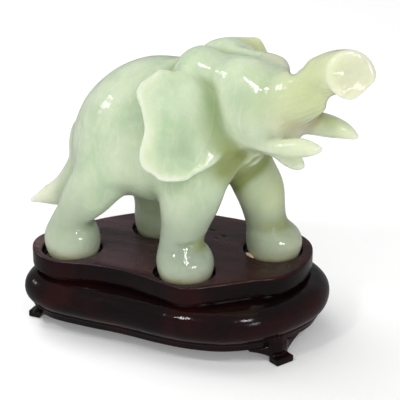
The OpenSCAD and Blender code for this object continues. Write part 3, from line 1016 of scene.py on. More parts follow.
@dataclass
class Stand:
    """The lacquered stand: lobed board, waist, round base moulding and four bracket feet.

    Attributes:
        wood: Lacquered material of the stand.
        pale: Bare wood of the hidden dowels and pegs.
        glue: Material of the dried bead of glue.
        at: Middle of the stand in the part's frame.
        rim: Outline of the board as shares of its half sizes.
        base_rim: Outline of the base as shares of its half sizes.
        board_half: Half sizes of the board.
        base_half: Half sizes of the base.
        board_steps: Points on each span of the board's outline.
        base_steps: Points on each span of the base's outline.
        base_shift: How far forward of the stand's middle the base sits.
        board_low: Height of the board's underside.
        board_top: Height of its top.
        socket_floor: Height of the sockets' floors.
        socket_radius: Their radius.
        socket_wobble: How far their walls stray from a circle.
        socket_edge: Radius of the edge about their floors.
        board_edge: Radius of the board's edges.
        waist_low: Height of the waist's underside.
        waist_inset: How far the waist is set back from the board's outline.
        base_low: Height of the base's underside.
        bracket_back: How far a bracket foot's middle is set back from the base's outline.
        ridge: How far its ridge stands before that middle.
        wing_angle: Way that a wing leans back from the front, in degrees.
        wing_length: Length of a wing.
        wing_depth: Thickness of a wing at its end.
        bead_radius: Way of the bead of glue from its socket's middle.
        crease: Angle in degrees from which an edge of a moulding is shaded sharp.
    """

    wood: Material
    pale: Material
    glue: Material
    at: tuple[float, float] = (-13.4, -1.09)
    rim: tuple[tuple[float, float], ...] = (
        (-1.00, -0.44), (-0.90, -0.83), (-0.68, -0.98), (-0.40, -0.88), (-0.14, -0.85), (0.16, -0.93),
        (0.38, -0.97), (0.55, -0.78), (0.74, -0.50), (0.94, -0.22), (1.00, 0.22), (0.92, 0.70),
        (0.70, 0.96), (0.30, 1.01), (-0.04, 0.98), (-0.36, 0.86), (-0.60, 0.56), (-0.82, 0.12))
    base_rim: tuple[tuple[float, float], ...] = (
        (-0.95, -0.38), (-0.90, -0.74), (-0.70, -0.91), (-0.43, -0.93), (-0.14, -0.91), (0.14, -0.92),
        (0.38, -0.89), (0.61, -0.78), (0.82, -0.53), (0.95, -0.16), (1.00, 0.24), (0.91, 0.63),
        (0.67, 0.90), (0.34, 1.00), (-0.03, 0.97), (-0.35, 0.81), (-0.63, 0.51), (-0.84, 0.08))
    board_half: tuple[float, float] = (52.5, 34.0)
    base_half: tuple[float, float] = (58.5, 40.0)
    board_steps: int = 12
    base_steps: int = 16
    base_shift: float = 1.5
    board_low: float = 25.5
    board_top: float = 33.0
    socket_floor: float = 30.0
    socket_radius: float = 11.55
    socket_wobble: float = 0.22
    socket_edge: float = 0.4
    board_edge: float = 0.8
    waist_low: float = 24.0
    waist_inset: float = 2.0
    base_low: float = 7.0
    bracket_back: float = 6.62
    ridge: float = 4.0
    wing_angle: float = 107.0
    wing_length: float = 13.0
    wing_depth: float = 4.0
    bead_radius: float = 10.8
    crease: float = 50.0

    @property
    def board_loop(self) -> Array:
        """Outline of the top board."""
        return np.array(self.at) + closed_spline(np.array(self.rim) * self.board_half, self.board_steps)

    @property
    def base_loop(self) -> Array:
        """Outline of the base moulding."""
        middle = np.array(self.at) + (self.base_shift, 0.0)
        return middle + closed_spline(np.array(self.base_rim) * self.base_half, self.base_steps)

    def socket_at(self, leg: Leg) -> Array:
        """Middle of the socket of one foot."""
        return np.array(FEET_AT) + leg.value[:2]

    def board(self) -> None:
        """Lobed board with four foot sockets and a few knocks in its top."""
        step = 0.5
        loop = self.board_loop
        low, high = (*loop.min(axis=0), self.board_low), (*loop.max(axis=0), self.board_top)
        wood = carve(Place(), (low, high), step)
        wood.join(Prism(loop, self.board_low, self.board_top, self.board_edge), 0.1)
        for k, leg in enumerate(Leg):
            hole = ring(self.socket_radius, 48, self.socket_wobble, 1.3 * k)
            place = Place(np.array([*self.socket_at(leg), 0.0]))
            wood.cut(Prism(hole, self.socket_floor, self.board_top + 3, self.socket_edge, place), 0.6)
        top = self.board_top + 0.25
        for knock in (((-7.6, 18.1, top, 0.5), (-6.2, 17.7, top, 0.7), (-4.9, 18.0, top, 0.5)),
                      ((-1.0, 15.1, top, 0.5), (0.6, 14.4, top, 0.8), (1.6, 13.4, top, 0.5)),
                      ((-2.6, 11.7, top, 0.4), (-1.2, 11.2, top, 0.6), (0.2, 11.4, top, 0.4))):
            wood.cut(Rope(knock, Place(), 16), 0.4)
        points, faces = wood.skin()
        dress(make_piece("board", points, faces.tolist(), self.wood), "stand", "dark_wood", "top_board")

    def carried(self, name: str, loop: Array, profile: Array, node: str) -> None:
        """Carry a side profile round an outline, close it flat above and below, and hand it over.

        Args:
            name: The piece's name.
            loop: The outline.
            profile: Set-back and height of the side, from the underside up.
            node: The solid that the piece stands for.
        """
        normal, n = outward(loop), len(loop)
        rings = [np.column_stack([loop - back * normal, np.full(n, height)]) for back, height in profile]
        k, i = np.meshgrid(np.arange(len(rings) - 1), np.arange(n), indexing="ij")
        j = (i + 1) % n
        sides = np.stack([k * n + i, k * n + j, (k + 1) * n + j, (k + 1) * n + i], axis=-1).reshape(-1, 4)
        caps = [list(range(n))[::-1], [(len(rings) - 1) * n + m for m in range(n)]]
        piece = make_piece(name, np.concatenate(rings), sides.tolist() + caps, self.wood)
        piece.data.set_sharp_from_angle(angle=np.radians(self.crease))
        dress(piece, "stand", "dark_wood", node)

    def waist(self) -> None:
        """Thin set-back board between the base and the top board."""
        inset = self.waist_inset
        side = np.array([(inset, self.waist_low - 0.05), (inset, self.board_low + 0.05)])
        self.carried("waist", self.board_loop, side, "waist_board")

    def base(self) -> None:
        """Round base moulding that ends in a narrow lip over a straight band."""
        keys = np.array([(3.2, 10.6), (2.4, 11.5), (1.25, 12.8), (0.35, 14.6), (0.0, 16.9), (0.4, 19.4),
                         (1.8, 21.7), (3.9, 23.3), (6.6, 24.0)])
        span, steps = len(keys) - 1, 4
        table = np.column_stack([np.arange(span + 1.0), keys])
        round_side = hermite(table, np.linspace(0, span, steps * span + 1))
        low = self.base_low
        lip = np.array([(4.9, low), (4.65, low + 0.08), (4.55, low + 0.3), (4.5, 9.2), (4.35, 9.5),
                        (3.6, 9.7), (3.2, 9.85), (3.05, 10.15), (3.15, 10.4)])
        self.carried("base", self.base_loop, np.concatenate([lip, round_side]), "base_moulding")

    def bracket(self, bracket: Bracket) -> None:
        """Bracket foot: two hollowed wings that lean back from a ridge, on a pad that kicks out.

        Args:
            bracket: Which one.
        """
        node, share = bracket.value
        loop = self.base_loop
        i = round(share * len(loop))
        way = outward(loop)[i]
        spot = loop[i] - self.bracket_back * way
        place = Place(np.array([*spot, 0.0])).turned(np.degrees(np.arctan2(way[1], way[0])))
        lean = np.radians(self.wing_angle)
        wing, back = np.array([np.cos(lean), np.sin(lean)]), np.array([-np.sin(lean), np.cos(lean)])
        nose, flip = np.array([self.ridge, 0.0]), np.array([1.0, -1.0])
        end = nose + self.wing_length * wing
        half = [end, end + self.wing_depth * back, np.array([-1.6, 3.2]), np.array([-4.0, 3.2])]
        plan = np.array([nose, *half, *(p * flip for p in half[::-1])])
        step = 0.4
        wood = carve(place, ((-5.0, -13.5, 0.0), (9.8, 13.5, 11.5)), step)
        wood.join(Prism(plan, 1.5, self.base_low + 0.1, 0.35), 0.1)
        hollow = np.array([(4.0, -1.0), (16.0, -1.0), (16.0, 6.6), (13.0, 6.4), (10.0, 5.4), (7.0, 4.1),
                           (5.2, 3.2), (4.0, 2.5)])
        for side in Side:
            under = Place(np.array([*nose, 0.0])).turned(self.wing_angle * side.value).led_by(0, 2)
            wood.cut(Prism(hollow, -8.0, 8.0, 0.2, under), 0.3)
        knee = np.array([(4.2, 0.0), (3.4, 3.0), (0.0, 5.5), (-2.0, 5.5), (-2.0, -5.5), (0.0, -5.5),
                         (3.4, -3.0)])
        wood.join(Prism(knee, 4.0, 11.0, 0.8), 2.0)
        pad = np.array([(1.75, -4.0), (6.75, -4.0), (6.75, 4.0), (1.75, 4.0)])
        wood.join(Prism(pad, 0.0, 2.8, 0.4), 0.8)
        points, faces = wood.skin()
        dress(make_piece(node + "_carved", place.outer(points), faces.tolist(), self.wood),
              "stand", "dark_wood", node)

    def glue_bead(self) -> None:
        """Dried glue squeezed up between the left front foot and the wall of its socket."""
        place = Place(np.array([*self.socket_at(Leg.LEFT_FORE), self.socket_floor]))
        turn = np.radians([-136, -129, -121, -112])
        bead = carve(place, ((-10.0, -12.0, 0.0), (-2.0, -6.0, 4.0)), 0.2)
        across, along = self.bead_radius * np.cos(turn), self.bead_radius * np.sin(turn)
        for height, radii in ((0.8, (0.6, 0.8, 0.8, 0.6)), (1.7, (0.5, 0.9, 0.9, 0.5)),
                              (2.5, (0.4, 0.9, 1.0, 0.4))):
            rows = tuple((x, y, height, r) for x, y, r in zip(across, along, radii))
            bead.join(Rope(rows, Place(), 24), 0.6)
        points, faces = bead.skin()
        dress(make_piece("glue_squeeze", place.outer(points), faces.tolist(), self.glue),
              "stand", "glue", "glue_bead_dab")

    def make(self) -> None:
        """Make every piece of the stand, and finish the hidden solids as they are."""
        self.board()
        self.waist()
        self.base()
        for bracket in Bracket:
            self.bracket(bracket)
        self.glue_bead()
        for node in ("board_dowels", "foot_pegs"):
            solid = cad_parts[node]
            solid.data.materials.clear()
            solid.data.materials.append(self.pale)


# Finishes


class Nodes:
    """Adds nodes to a shader tree and links them as they come."""

    def __init__(self, tree: Tree) -> None:
        """Start on an empty tree."""
        self.tree = tree
        tree.nodes.clear()

    def add(self, kind: str, given: dict | None = None, **settings: object) -> bpy.types.Node:
        """Add a node.

        Args:
            kind: Its type, without the common start of shader node names.
            given: Values or output sockets for its inputs, by name or number.
            settings: Its own options.

        Returns:
            The node.
        """
        node = self.tree.nodes.new(kind if kind.startswith("Node") else "ShaderNode" + kind)
        for name, value in settings.items():
            setattr(node, name, value)
        for key, value in (given or {}).items():
            if isinstance(value, Socket):
                self.tree.links.new(value, node.inputs[key])
            else:
                node.inputs[key].default_value = value
        return node

    def noise(self, at: Socket, scale: float | Socket, detail: float = 3.0, rough: float = 0.5,
              bend: float = 0.0) -> Socket:
        """Add a noise pattern and give its value."""
        return self.add("TexNoise", {"Vector": at, "Scale": scale, "Detail": detail, "Roughness": rough,
                                     "Distortion": bend}).outputs["Fac"]

    def math(self, operation: str, *values: object) -> Socket:
        """Add a sum on single values and give its result."""
        return self.add("Math", dict(enumerate(values)), operation=operation).outputs[0]

    def times(self, *values: object) -> Socket:
        """Multiply values with each other."""
        return reduce(partial(self.math, "MULTIPLY"), values)

    def most(self, *values: object) -> Socket:
        """Take the largest of several values."""
        return reduce(partial(self.math, "MAXIMUM"), values)

    def ramp(self, value: Socket, low: float, high: float, to_low: float = 0.0,
             to_high: float = 1.0) -> Socket:
        """Carry a value smoothly from one range to another, held at both ends."""
        return self.add("MapRange", {"Value": value, 1: low, 2: high, 3: to_low, 4: to_high},
                        interpolation_type="SMOOTHSTEP").outputs[0]

    def mix(self, share: object, one: object, two: object) -> Socket:
        """Mix two colours."""
        return self.add("Mix", {0: share, 6: one, 7: two}, data_type="RGBA").outputs[2]

    def tint(self, colour: Socket, share: Socket, paint: Colour) -> Socket:
        """Lay a plain paint over a colour, by a share."""
        return self.mix(share, colour, rgb(*paint))

    def along(self, at: Socket, *way: float) -> Socket:
        """Give how far a point lies along a direction."""
        return self.add("VectorMath", {0: at, 1: way}, operation="DOT_PRODUCT").outputs["Value"]

    def stretched(self, at: Socket, *scale: float) -> Socket:
        """Give a place with its axes stretched."""
        return self.add("VectorMath", {0: at, 1: scale}, operation="MULTIPLY").outputs["Vector"]

    def bump(self, height: Socket, distance: float) -> Socket:
        """Turn a height in shares of a distance into a bent normal."""
        return self.add("Bump", {"Height": height, "Distance": distance}).outputs["Normal"]


def rgb(*colour: float) -> tuple[float, float, float, float]:
    """Give a colour as the sockets want it."""
    return (*colour, 1.0)


def group(name: str, inputs: dict[str, float | tuple], outputs: dict[str, str]) -> tuple[Nodes, dict, dict]:
    """Start a shader node group.

    Args:
        name: The group's name.
        inputs: Its inputs, with their usual values: three numbers for a place, four for a colour.
        outputs: Its outputs, with their socket types.

    Returns:
        Its nodes, the sockets of its inputs, and the inputs of its output node.
    """
    tree = bpy.data.node_groups.new(name, "ShaderNodeTree")
    for key, value in inputs.items():
        kind = "NodeSocketFloat"
        if isinstance(value, tuple):
            kind = {3: "NodeSocketVector", 4: "NodeSocketColor"}[len(value)]
        tree.interface.new_socket(key, in_out="INPUT", socket_type=kind).default_value = value
    for key, kind in outputs.items():
        tree.interface.new_socket(key, in_out="OUTPUT", socket_type=kind)
    nodes = Nodes(tree)
    start, end = nodes.add("NodeGroupInput"), nodes.add("NodeGroupOutput")
    return nodes, dict(start.outputs.items()), dict(end.inputs.items())


def wood_grain() -> Tree:
    """Build the grain that both woods use: fine dark lines along X with slow streaks between them.

    Returns:
        The node group.
    """
    nodes, given, out = group("wood_grain", {"Place": (0, 0, 0), "Light": rgb(0.1, 0.05, 0.04),
                                             "Dark": rgb(0, 0, 0), "Fineness": 900.0},
                              {"Color": "NodeSocketColor", "Lines": "NodeSocketFloat",
                               "Streaks": "NodeSocketFloat"})
    link = nodes.tree.links.new
    spread = nodes.stretched(given["Place"], 0.06, 1.0, 1.0)
    lines = nodes.ramp(nodes.noise(spread, given["Fineness"], 3.0, 0.6), 0.35, 0.65)
    streaks = nodes.ramp(nodes.noise(spread, 130.0, 4.0, bend=0.6), 0.3, 0.7)
    share = nodes.math("MULTIPLY_ADD", lines, 0.45, nodes.times(streaks, 0.55))
    link(nodes.mix(share, given["Dark"], given["Light"]), out["Color"])
    link(lines, out["Lines"])
    link(streaks, out["Streaks"])
    return nodes.tree


def hand_polish() -> Tree:
    """Build the slight unevenness of hand-rubbed surfaces: a gloss that drifts, and soft shallow waves.

    Returns:
        The node group.
    """
    nodes, given, out = group("hand_polish", {"Place": (0, 0, 0), "Size": 90.0, "Smooth": 0.15, "Dull": 0.3},
                              {"Roughness": "NodeSocketFloat", "Height": "NodeSocketFloat"})
    link = nodes.tree.links.new
    wide = nodes.noise(given["Place"], given["Size"])
    close = nodes.noise(given["Place"], nodes.times(given["Size"], 6.0), 2.0)
    reach = nodes.math("SUBTRACT", given["Dull"], given["Smooth"])
    link(nodes.math("MULTIPLY_ADD", nodes.ramp(wide, 0.3, 0.7), reach, given["Smooth"]), out["Roughness"])
    link(nodes.math("MULTIPLY_ADD", close, 0.15, wide), out["Height"])
    return nodes.tree


@dataclass(frozen=True)
class Finish:
    """A material whose colour, gloss and relief come from nodes.

    Attributes:
        name: Name of the material.
    """

    name: str

    def start(self) -> tuple[Material, Nodes, Socket]:
        """Start a material.

        Returns:
            The material, its nodes and the place on the piece.
        """
        material = bpy.data.materials.new(self.name)
        material.use_nodes = True
        nodes = Nodes(material.node_tree)
        return material, nodes, nodes.add("TexCoord").outputs["Object"]

    @staticmethod
    def end(nodes: Nodes, **given: object) -> bpy.types.Node:
        """Add the shader.

        Args:
            nodes: Nodes of the material.
            given: The shader's inputs, spaces in their names written as underscores.

        Returns:
            The shader.
        """
        shader = nodes.add("BsdfPrincipled", {key.replace("_", " "): value for key, value in given.items()})
        nodes.add("OutputMaterial", {"Surface": shader.outputs[0]})
        return shader

    @staticmethod
    def shared(nodes: Nodes, at: Socket, tree: Tree, **given: object) -> bpy.types.Node:
        """Place a shared node group with its own values."""
        return nodes.add("Group", {"Place": at, **given}, node_tree=tree)


@dataclass(frozen=True)
class Spots:
    """Sockets that say where on the figure a point lies, in metres, and how much stone is about it.

    Attributes:
        x: Way forward of the part's origin.
        y: Way to the left of it.
        z: Height over the ground.
        ahead: Way from the origin along the turned head.
        left: Way from the origin to the left across the turned head.
        hollow: Share of stone close about the point.
        depth: Share of stone in a wider cube about it.
    """

    x: Socket
    y: Socket
    z: Socket
    ahead: Socket
    left: Socket
    hollow: Socket
    depth: Socket

    @classmethod
    def on(cls, nodes: Nodes, at: Socket) -> "Spots":
        """Work the places out with nodes.

        Args:
            nodes: Nodes of the material.
            at: The place on the piece.

        Returns:
            All the sockets.
        """
        c, s = 0.927, 0.375  # cosine and sine of the head's turn
        ways = ((1, 0, 0), (0, 1, 0), (0, 0, 1), (c, -s, 0), (s, c, 0))
        stone = (nodes.add("Attribute", attribute_name=name).outputs["Fac"] for name in ("hollow", "depth"))
        return cls(*(nodes.along(at, *way) for way in ways), *stone)


@dataclass(frozen=True)
class Jade(Finish):
    """Polished translucent stone with slow clouds: warm on the trunk, stained at the soles, paler where thin
    as a painted glow of light shining through, and with painted shade in hollows, under the chest and low on
    the legs.

    Attributes:
        deep: Green between the clouds.
        pale: The clouds.
        warm: Yellow cast of the trunk, of the head's left side and of the left legs; on the far ear and the
            left legs it partly stands in for light, as a painted glow and as a lift of their shade.
        white: Fibres, and a painted glow on thin ends where light shines through.
        painted_foot_shade: Painted shade, greyer and darker, low on the legs, most on the right, and on all
            feet.
        tan: The mouth.
        shade: Painted shade in deep hollows.
        chest_shade: Painted shade on the stone under the chest.
        stain: The soles.
    """

    deep: Colour = (0.45, 0.57, 0.39)
    pale: Colour = (0.60, 0.68, 0.50)
    warm: Colour = (0.61, 0.64, 0.36)
    white: Colour = (0.74, 0.73, 0.62)
    painted_foot_shade: Colour = (0.34, 0.39, 0.30)
    tan: Colour = (0.50, 0.46, 0.26)
    shade: Colour = (0.30, 0.41, 0.18)
    chest_shade: Colour = (0.27, 0.32, 0.10)
    stain: Colour = (0.50, 0.50, 0.22)

    def clouded(self, nodes: Nodes, at: Socket, veins: Socket) -> Socket:
        """Mix slow clouds with finer veins, under upright white fibres.

        Args:
            nodes: Nodes of the material.
            at: The place on the piece.
            veins: Pattern of the veins.

        Returns:
            The colour of the stone's inside.
        """
        clouds = nodes.noise(nodes.stretched(at, 1, 1, 0.75), 36.0, 4.0, 0.55, 1.0)
        share = nodes.ramp(nodes.math("MULTIPLY_ADD", veins, 0.3, nodes.times(clouds, 0.7)), 0.33, 0.65)
        fibres = nodes.noise(nodes.stretched(at, 1, 1, 0.3), 380.0, 3.0, 0.6, 1.2)
        colour = nodes.mix(share, rgb(*self.deep), rgb(*self.pale))
        return nodes.tint(colour, nodes.ramp(fibres, 0.52, 0.74, 0.0, 0.35), self.white)

    def legs(self, nodes: Nodes, spots: Spots, colour: Socket) -> Socket:
        """Paint shade, greyer and darker, low on the right legs and on all feet, and tint the left legs warm,
        partly as painted light that lifts their shade.

        Args:
            nodes: Nodes of the material.
            spots: Places on the figure.
            colour: The colour so far.

        Returns:
            The new colour.
        """
        x, y, z = spots.x, spots.y, spots.z
        right = nodes.most(nodes.ramp(y, -0.006, 0.008, 1.0, 0.3), nodes.ramp(z, 0.062, 0.048))
        # Painted shade: greyer, darker stone low on the legs and on all feet.
        low_leg_shade = nodes.times(nodes.ramp(z, 0.075, 0.042), right, nodes.ramp(x, -0.068, -0.060, 0.0, 0.95),
                           nodes.ramp(x, -0.03, -0.01, 0.7, 1.0))
        # Warm tint of the left legs: partly yellower stone, partly painted light that lifts their shade.
        left = nodes.times(nodes.ramp(y, -0.006, 0.008), nodes.ramp(z, 0.085, 0.06, 0.0, 0.6),
                           nodes.ramp(z, 0.046, 0.06, 0.3, 1.0))
        return nodes.tint(nodes.tint(colour, low_leg_shade, self.painted_foot_shade), left, self.warm)

    def shaded_and_stained(self, nodes: Nodes, spots: Spots, colour: Socket, veins: Socket) -> Socket:
        """Paint shade into the hollows and under the chest, tint the mouth tan, and stain the soles.

        Args:
            nodes: Nodes of the material.
            spots: Places on the figure.
            colour: The colour so far.
            veins: Pattern of the veins.

        Returns:
            The new colour.
        """
        # Painted shade under the chest, between the front legs.
        under = nodes.times(nodes.ramp(spots.hollow, 0.41, 0.51), nodes.ramp(spots.y, -0.027, -0.02),
                            nodes.ramp(spots.x, -0.015, 0.005), nodes.ramp(spots.z, 0.096, 0.084, 0.0, 0.9))
        mouth = nodes.times(nodes.ramp(spots.hollow, 0.42, 0.52, 0.0, 0.8),
                            nodes.ramp(spots.ahead, 0.042, 0.052), nodes.ramp(spots.z, 0.112, 0.102))
        soles = nodes.times(nodes.ramp(spots.z, 0.0365, 0.0335), nodes.ramp(veins, 0.3, 0.6, 0.25, 0.6))
        # Painted shade in the hollows and creases.
        hollows = nodes.ramp(spots.hollow, 0.46, 0.66, 0.0, 0.85)
        coats = ((hollows, self.shade), (under, self.chest_shade), (mouth, self.tan), (soles, self.stain))
        for share, paint in coats:
            colour = nodes.tint(colour, share, paint)
        return colour

    @staticmethod
    def thin(nodes: Nodes, spots: Spots, left_brow: Socket) -> Socket:
        """Find where light shines through, for a painted glow: tail, tusks, the trunk's end, the left brow
        and thin rims.

        Args:
            nodes: Nodes of the material.
            spots: Places on the figure.
            left_brow: Mask of the left brow.

        Returns:
            The share of painted glow.
        """
        tail = nodes.ramp(spots.x, -0.055, -0.068, 0.0, 0.6)
        tusks = nodes.times(nodes.ramp(spots.ahead, 0.026, 0.048),
                            nodes.ramp(spots.z, 0.108, 0.095, 0.0, 0.35))
        end = nodes.ramp(spots.ahead, 0.066, 0.076, 0.0, 0.6)
        rim_glow = nodes.ramp(spots.depth, 0.32, 0.12, 0.0, 0.4)
        return nodes.most(tail, tusks, end, nodes.times(left_brow, 0.6), rim_glow)

    @staticmethod
    def ears(nodes: Nodes, spots: Spots) -> Socket:
        """Mask the ears, which are less polished than the rest.

        Args:
            nodes: Nodes of the material.
            spots: Places on the figure.

        Returns:
            The mask.
        """
        aside = nodes.math("ABSOLUTE", spots.left)
        return nodes.times(nodes.ramp(nodes.math("MULTIPLY_ADD", spots.z, -0.4, aside), -0.0285, -0.027),
                           nodes.ramp(nodes.math("MULTIPLY_ADD", spots.z, 0.8, aside), 0.0865, 0.0895),
                           nodes.ramp(spots.ahead, 0.0, 0.006), nodes.ramp(spots.ahead, 0.023, 0.019))

    def make(self, polish: Tree) -> Material:
        """Build the material.

        Args:
            polish: The shared polish.

        Returns:
            The material.
        """
        material, nodes, at = self.start()
        spots = Spots.on(nodes, at)
        veins = nodes.noise(nodes.stretched(at, 1, 1, 0.7), 150.0, 4.0, 0.6, 0.8)
        trunk = nodes.times(nodes.ramp(spots.ahead, 0.028, 0.060),
                            nodes.ramp(spots.z, 0.088, 0.108, 0.0, 0.75))
        # Warm tint of the far ear: partly yellower stone, partly a painted glow of light from behind.
        left_ear = nodes.times(nodes.ramp(spots.left, 0.009, 0.013),
                               nodes.ramp(spots.z, 0.07, 0.09, 0.0, 0.75))
        left_brow = nodes.times(nodes.ramp(spots.left, 0.001, 0.005), nodes.ramp(spots.ahead, 0.022, 0.030),
                                nodes.ramp(spots.z, 0.104, 0.110, 0.0, 0.9))
        colour = nodes.tint(self.clouded(nodes, at, veins), nodes.most(trunk, left_ear, left_brow), self.warm)
        colour = self.shaded_and_stained(nodes, spots, self.legs(nodes, spots, colour), veins)
        # Painted glow: thin ends and rims whitened where light shines through.
        colour = nodes.tint(colour, self.thin(nodes, spots, left_brow), self.white)
        rub = self.shared(nodes, at, polish, Size=80.0, Smooth=0.06, Dull=0.14)
        waves = nodes.math("SINE", nodes.times(nodes.along(at, 0.449, 0.22, -0.87), 2850.0))
        creases = nodes.times(trunk, nodes.ramp(spots.z, 0.122, 0.112), waves)
        height = nodes.math("MULTIPLY_ADD", creases, 0.08, rub.outputs["Height"])
        rough = nodes.math("MULTIPLY_ADD", self.ears(nodes, spots), 0.3, rub.outputs["Roughness"])
        bent = nodes.bump(height, 0.0010)
        shader = self.end(nodes, Base_Color=colour, Roughness=rough, Normal=bent, IOR=1.6,
                          Subsurface_Weight=1.0, Subsurface_Radius=(0.9, 1.0, 0.75), Subsurface_Scale=0.009,
                          Sheen_Weight=0.12, Sheen_Roughness=0.5)
        shader.subsurface_method = "RANDOM_WALK"
        return material


@dataclass(frozen=True)
class Lacquer(Finish):
    """Near-black red-brown lacquer on wood, with the grain showing through and an uneven brushed gloss.

    Attributes:
        dark: Lines of the grain.
        brown: Wood between them.
        red: Thin patches of the lacquer.
        dust_and_sheen: Dusty, worn top of the board towards the rear, lighter there as a painted sheen.
        rubbed: Its top towards the front.
    """

    dark: Colour = (0.003, 0.002, 0.0025)
    brown: Colour = (0.008, 0.003, 0.0035)
    red: Colour = (0.032, 0.004, 0.004)
    dust_and_sheen: Colour = (0.105, 0.055, 0.066)
    rubbed: Colour = (0.042, 0.007, 0.008)

    def make(self, polish: Tree, grain: Tree) -> Material:
        """Build the material.

        Args:
            polish: The shared polish.
            grain: The shared grain.

        Returns:
            The material.
        """
        material, nodes, at = self.start()
        wood = self.shared(nodes, at, grain, Light=rgb(*self.brown), Dark=rgb(*self.dark), Fineness=900.0)
        patches = nodes.ramp(nodes.noise(at, 34.0, 3.0, 0.55, 0.6), 0.48, 0.72, 0.0, 0.45)
        colour = nodes.mix(patches, wood.outputs["Color"], rgb(*self.red))
        # The board's top: worn and dusty, and lighter towards the rear as a painted sheen.
        top_wear_and_sheen = nodes.ramp(nodes.along(at, 0, 0, 1), 0.0322, 0.0328, 0.0, 0.85)
        rear = nodes.ramp(nodes.along(at, 1, 0, 0), 0.03, -0.04)
        tone = nodes.mix(rear, rgb(*self.rubbed), rgb(*self.dust_and_sheen))
        streaks = nodes.ramp(wood.outputs["Streaks"], 0, 1, 0.35, 1.0)
        colour = nodes.mix(top_wear_and_sheen, colour, nodes.mix(streaks, rgb(*self.brown), tone))
        rub = self.shared(nodes, at, polish, Size=110.0, Smooth=0.07, Dull=0.17)
        height = nodes.math("MULTIPLY_ADD", wood.outputs["Lines"], 0.04, rub.outputs["Height"])
        rough = nodes.math("MULTIPLY_ADD", top_wear_and_sheen, 0.16, rub.outputs["Roughness"])
        self.end(nodes, Base_Color=colour, Roughness=rough, Normal=nodes.bump(height, 0.0003), IOR=1.5,
                 Specular_IOR_Level=0.24)
        return material


@dataclass(frozen=True)
class BareWood(Finish):
    """Pale bare wood of the hidden dowels and pegs.

    Attributes:
        light: Wood between the lines of the grain.
        dark: The lines.
    """

    light: Colour = (0.66, 0.50, 0.32)
    dark: Colour = (0.46, 0.31, 0.17)

    def make(self, grain: Tree) -> Material:
        """Build the material.

        Args:
            grain: The shared grain.

        Returns:
            The material.
        """
        material, nodes, at = self.start()
        wood = self.shared(nodes, at, grain, Light=rgb(*self.light), Dark=rgb(*self.dark), Fineness=1400.0)
        rough = nodes.ramp(wood.outputs["Streaks"], 0, 1, 0.55, 0.75)
        self.end(nodes, Base_Color=wood.outputs["Color"], Roughness=rough,
                 Normal=nodes.bump(wood.outputs["Lines"], 0.0002), IOR=1.5)
        return material


@dataclass(frozen=True)
class Glue(Finish):
    """Dried cream-coloured glue.

    Attributes:
        cream: Its raised parts.
        brown: Its low parts.
    """

    cream: Colour = (0.80, 0.66, 0.50)
    brown: Colour = (0.58, 0.40, 0.27)

    def make(self, polish: Tree) -> Material:
        """Build the material.

        Args:
            polish: The shared polish.

        Returns:
            The material.
        """
        material, nodes, at = self.start()
        rub = self.shared(nodes, at, polish, Size=500.0, Smooth=0.35, Dull=0.6)
        colour = nodes.mix(nodes.ramp(rub.outputs["Height"], 0.4, 0.7), rgb(*self.brown), rgb(*self.cream))
        self.end(nodes, Base_Color=colour, Roughness=rub.outputs["Roughness"],
                 Normal=nodes.bump(rub.outputs["Height"], 0.0004), IOR=1.47)
        return material


@dataclass(frozen=True)
class Paper(Finish):
    """Smooth pale ground.

    Attributes:
        shade: Its colour.
        glow: Strength of the even light that it gives.
    """

    shade: Colour = (0.93, 0.93, 0.93)
    glow: float = 0.15

    def make(self) -> Material:
        """Build the material with a barely uneven tone.

        Returns:
            The material.
        """
        material, nodes, at = self.start()
        tone = nodes.ramp(nodes.noise(at, 3.0), 0.3, 0.7)
        colour = nodes.mix(tone, rgb(*self.shade), rgb(*(min(1.0, 1.01 * c) for c in self.shade)))
        self.end(nodes, Base_Color=colour, Roughness=0.7, Specular_IOR_Level=0.2, Emission_Color=rgb(1, 1, 1),
                 Emission_Strength=self.glow)
        return material


@dataclass(frozen=True)
class Lamp:
    """A square soft lamp.

    Attributes:
        name: Its name.
        azimuth: Way from the object to it, in degrees from +X towards +Y.
        elevation: Its height in degrees.
        distance: How far it is, in metres.
        size: Width of its square, in metres.
        power: Its strength in watts.
        gloss: Whether glossy surfaces show it.
    """

    name: str
    azimuth: float
    elevation: float
    distance: float
    size: float
    power: float
    gloss: bool = True


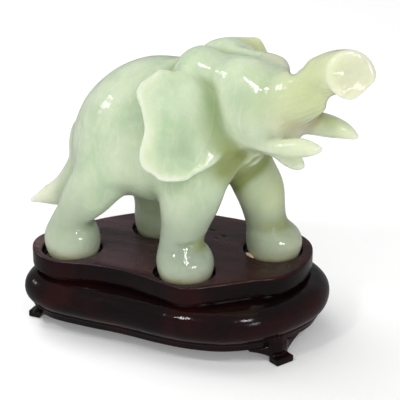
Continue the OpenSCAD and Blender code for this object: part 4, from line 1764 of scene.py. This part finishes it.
@dataclass
class Studio:
    """Pale ground, soft light and the camera.

    Attributes:
        target: Point that the camera and the lamps look at, in millimetres.
        eye: Camera's place, in millimetres.
        lens: Focal length of the camera, in millimetres.
        film: Width of its film.
        ground_half: Half width of the ground, in metres.
        sky: Strength of the even white sky.
        lamps: Three wide lamps that gloss doesn't show, and four small ones for the highlights.
    """

    target: tuple[float, float, float] = (-3.4, 0.9, 53.1)
    eye: tuple[float, float, float] = (239.6, -495.1, 287.5)
    lens: float = 140.26
    film: float = 36.0
    ground_half: float = 6.0
    sky: float = 0.28
    lamps: tuple[Lamp, ...] = (
        Lamp("key", 172.0, 56.0, 1.5, 1.6, 15.0, gloss=False),
        Lamp("fill", -70.0, 31.0, 1.8, 1.6, 11.5, gloss=False),
        Lamp("back", 116.0, 25.0, 2.2, 2.2, 2.2, gloss=False),
        Lamp("spot_front", -106.0, 45.0, 1.3, 0.14, 2.6), Lamp("spot_near", -36.0, 43.0, 1.3, 0.12, 2.0),
        Lamp("spot_left", -172.0, 20.0, 1.3, 0.15, 0.8), Lamp("spot_right", -30.0, 18.0, 1.3, 0.2, 1.6))

    @staticmethod
    def aim(piece: Piece, eye: Vector, target: Vector) -> None:
        """Stand something at a point, looking at another."""
        piece.location = eye
        piece.rotation_euler = (target - eye).to_track_quat("-Z", "Y").to_euler()

    def ground(self) -> None:
        """Lay the flat ground."""
        h = self.ground_half
        mesh = bpy.data.meshes.new("ground")
        mesh.from_pydata([(-h, -h, 0), (h, -h, 0), (h, h, 0), (-h, h, 0)], [], [(0, 1, 2, 3)])
        mesh.materials.append(Paper("pale_ground").make())
        floor = bpy.data.objects.new("ground", mesh)
        bpy.context.scene.collection.objects.link(floor)
        floor.visible_glossy = False

    def hang(self, lamp: Lamp) -> None:
        """Hang a lamp so that it looks at the target.

        Args:
            lamp: The lamp.
        """
        light = bpy.data.lights.new(lamp.name, "AREA")
        light.shape, light.size, light.energy = "SQUARE", lamp.size, lamp.power
        a, e = np.radians(lamp.azimuth), np.radians(lamp.elevation)
        way = Vector((np.cos(a) * np.cos(e), np.sin(a) * np.cos(e), np.sin(e)))
        target = Vector(self.target) * MM
        holder = bpy.data.objects.new(lamp.name, light)
        holder.visible_glossy = lamp.gloss
        bpy.context.scene.collection.objects.link(holder)
        self.aim(holder, target + way * lamp.distance, target)

    def light_up(self) -> None:
        """Hang the lamps and set the sky."""
        for lamp in self.lamps:
            self.hang(lamp)
        world = bpy.data.worlds.new("soft_sky")
        world.use_nodes = True
        nodes = Nodes(world.node_tree)
        sky = nodes.add("Background", {"Color": rgb(1, 1, 1), "Strength": self.sky})
        nodes.add("OutputWorld", {"Surface": sky.outputs[0]})
        bpy.context.scene.world = world

    def watch(self) -> None:
        """Set the camera up."""
        camera = bpy.data.cameras.new("camera")
        camera.lens, camera.sensor_width = self.lens, self.film
        camera.clip_start, camera.clip_end = 0.01, 50.0
        eye = bpy.data.objects.new("camera", camera)
        bpy.context.scene.collection.objects.link(eye)
        self.aim(eye, Vector(self.eye) * MM, Vector(self.target) * MM)
        bpy.context.scene.camera = eye

    def make(self) -> None:
        """Set up the ground, the light and the camera."""
        bpy.context.scene.view_settings.view_transform = "Standard"
        self.ground()
        self.light_up()
        self.watch()


def main() -> None:
    """Build the finishes, the figure, the stand and the studio, and note the sizes."""
    logging.basicConfig(level=logging.INFO, format="%(name)s: %(message)s")
    polish, grain = hand_polish(), wood_grain()
    Elephant(Jade("polished_jade").make(polish)).make()
    Stand(Lacquer("dark_lacquer").make(polish, grain), BareWood("bare_wood").make(grain),
          Glue("dried_glue").make(polish)).make()
    Studio().make()


if __name__ == "__main__":
    main()
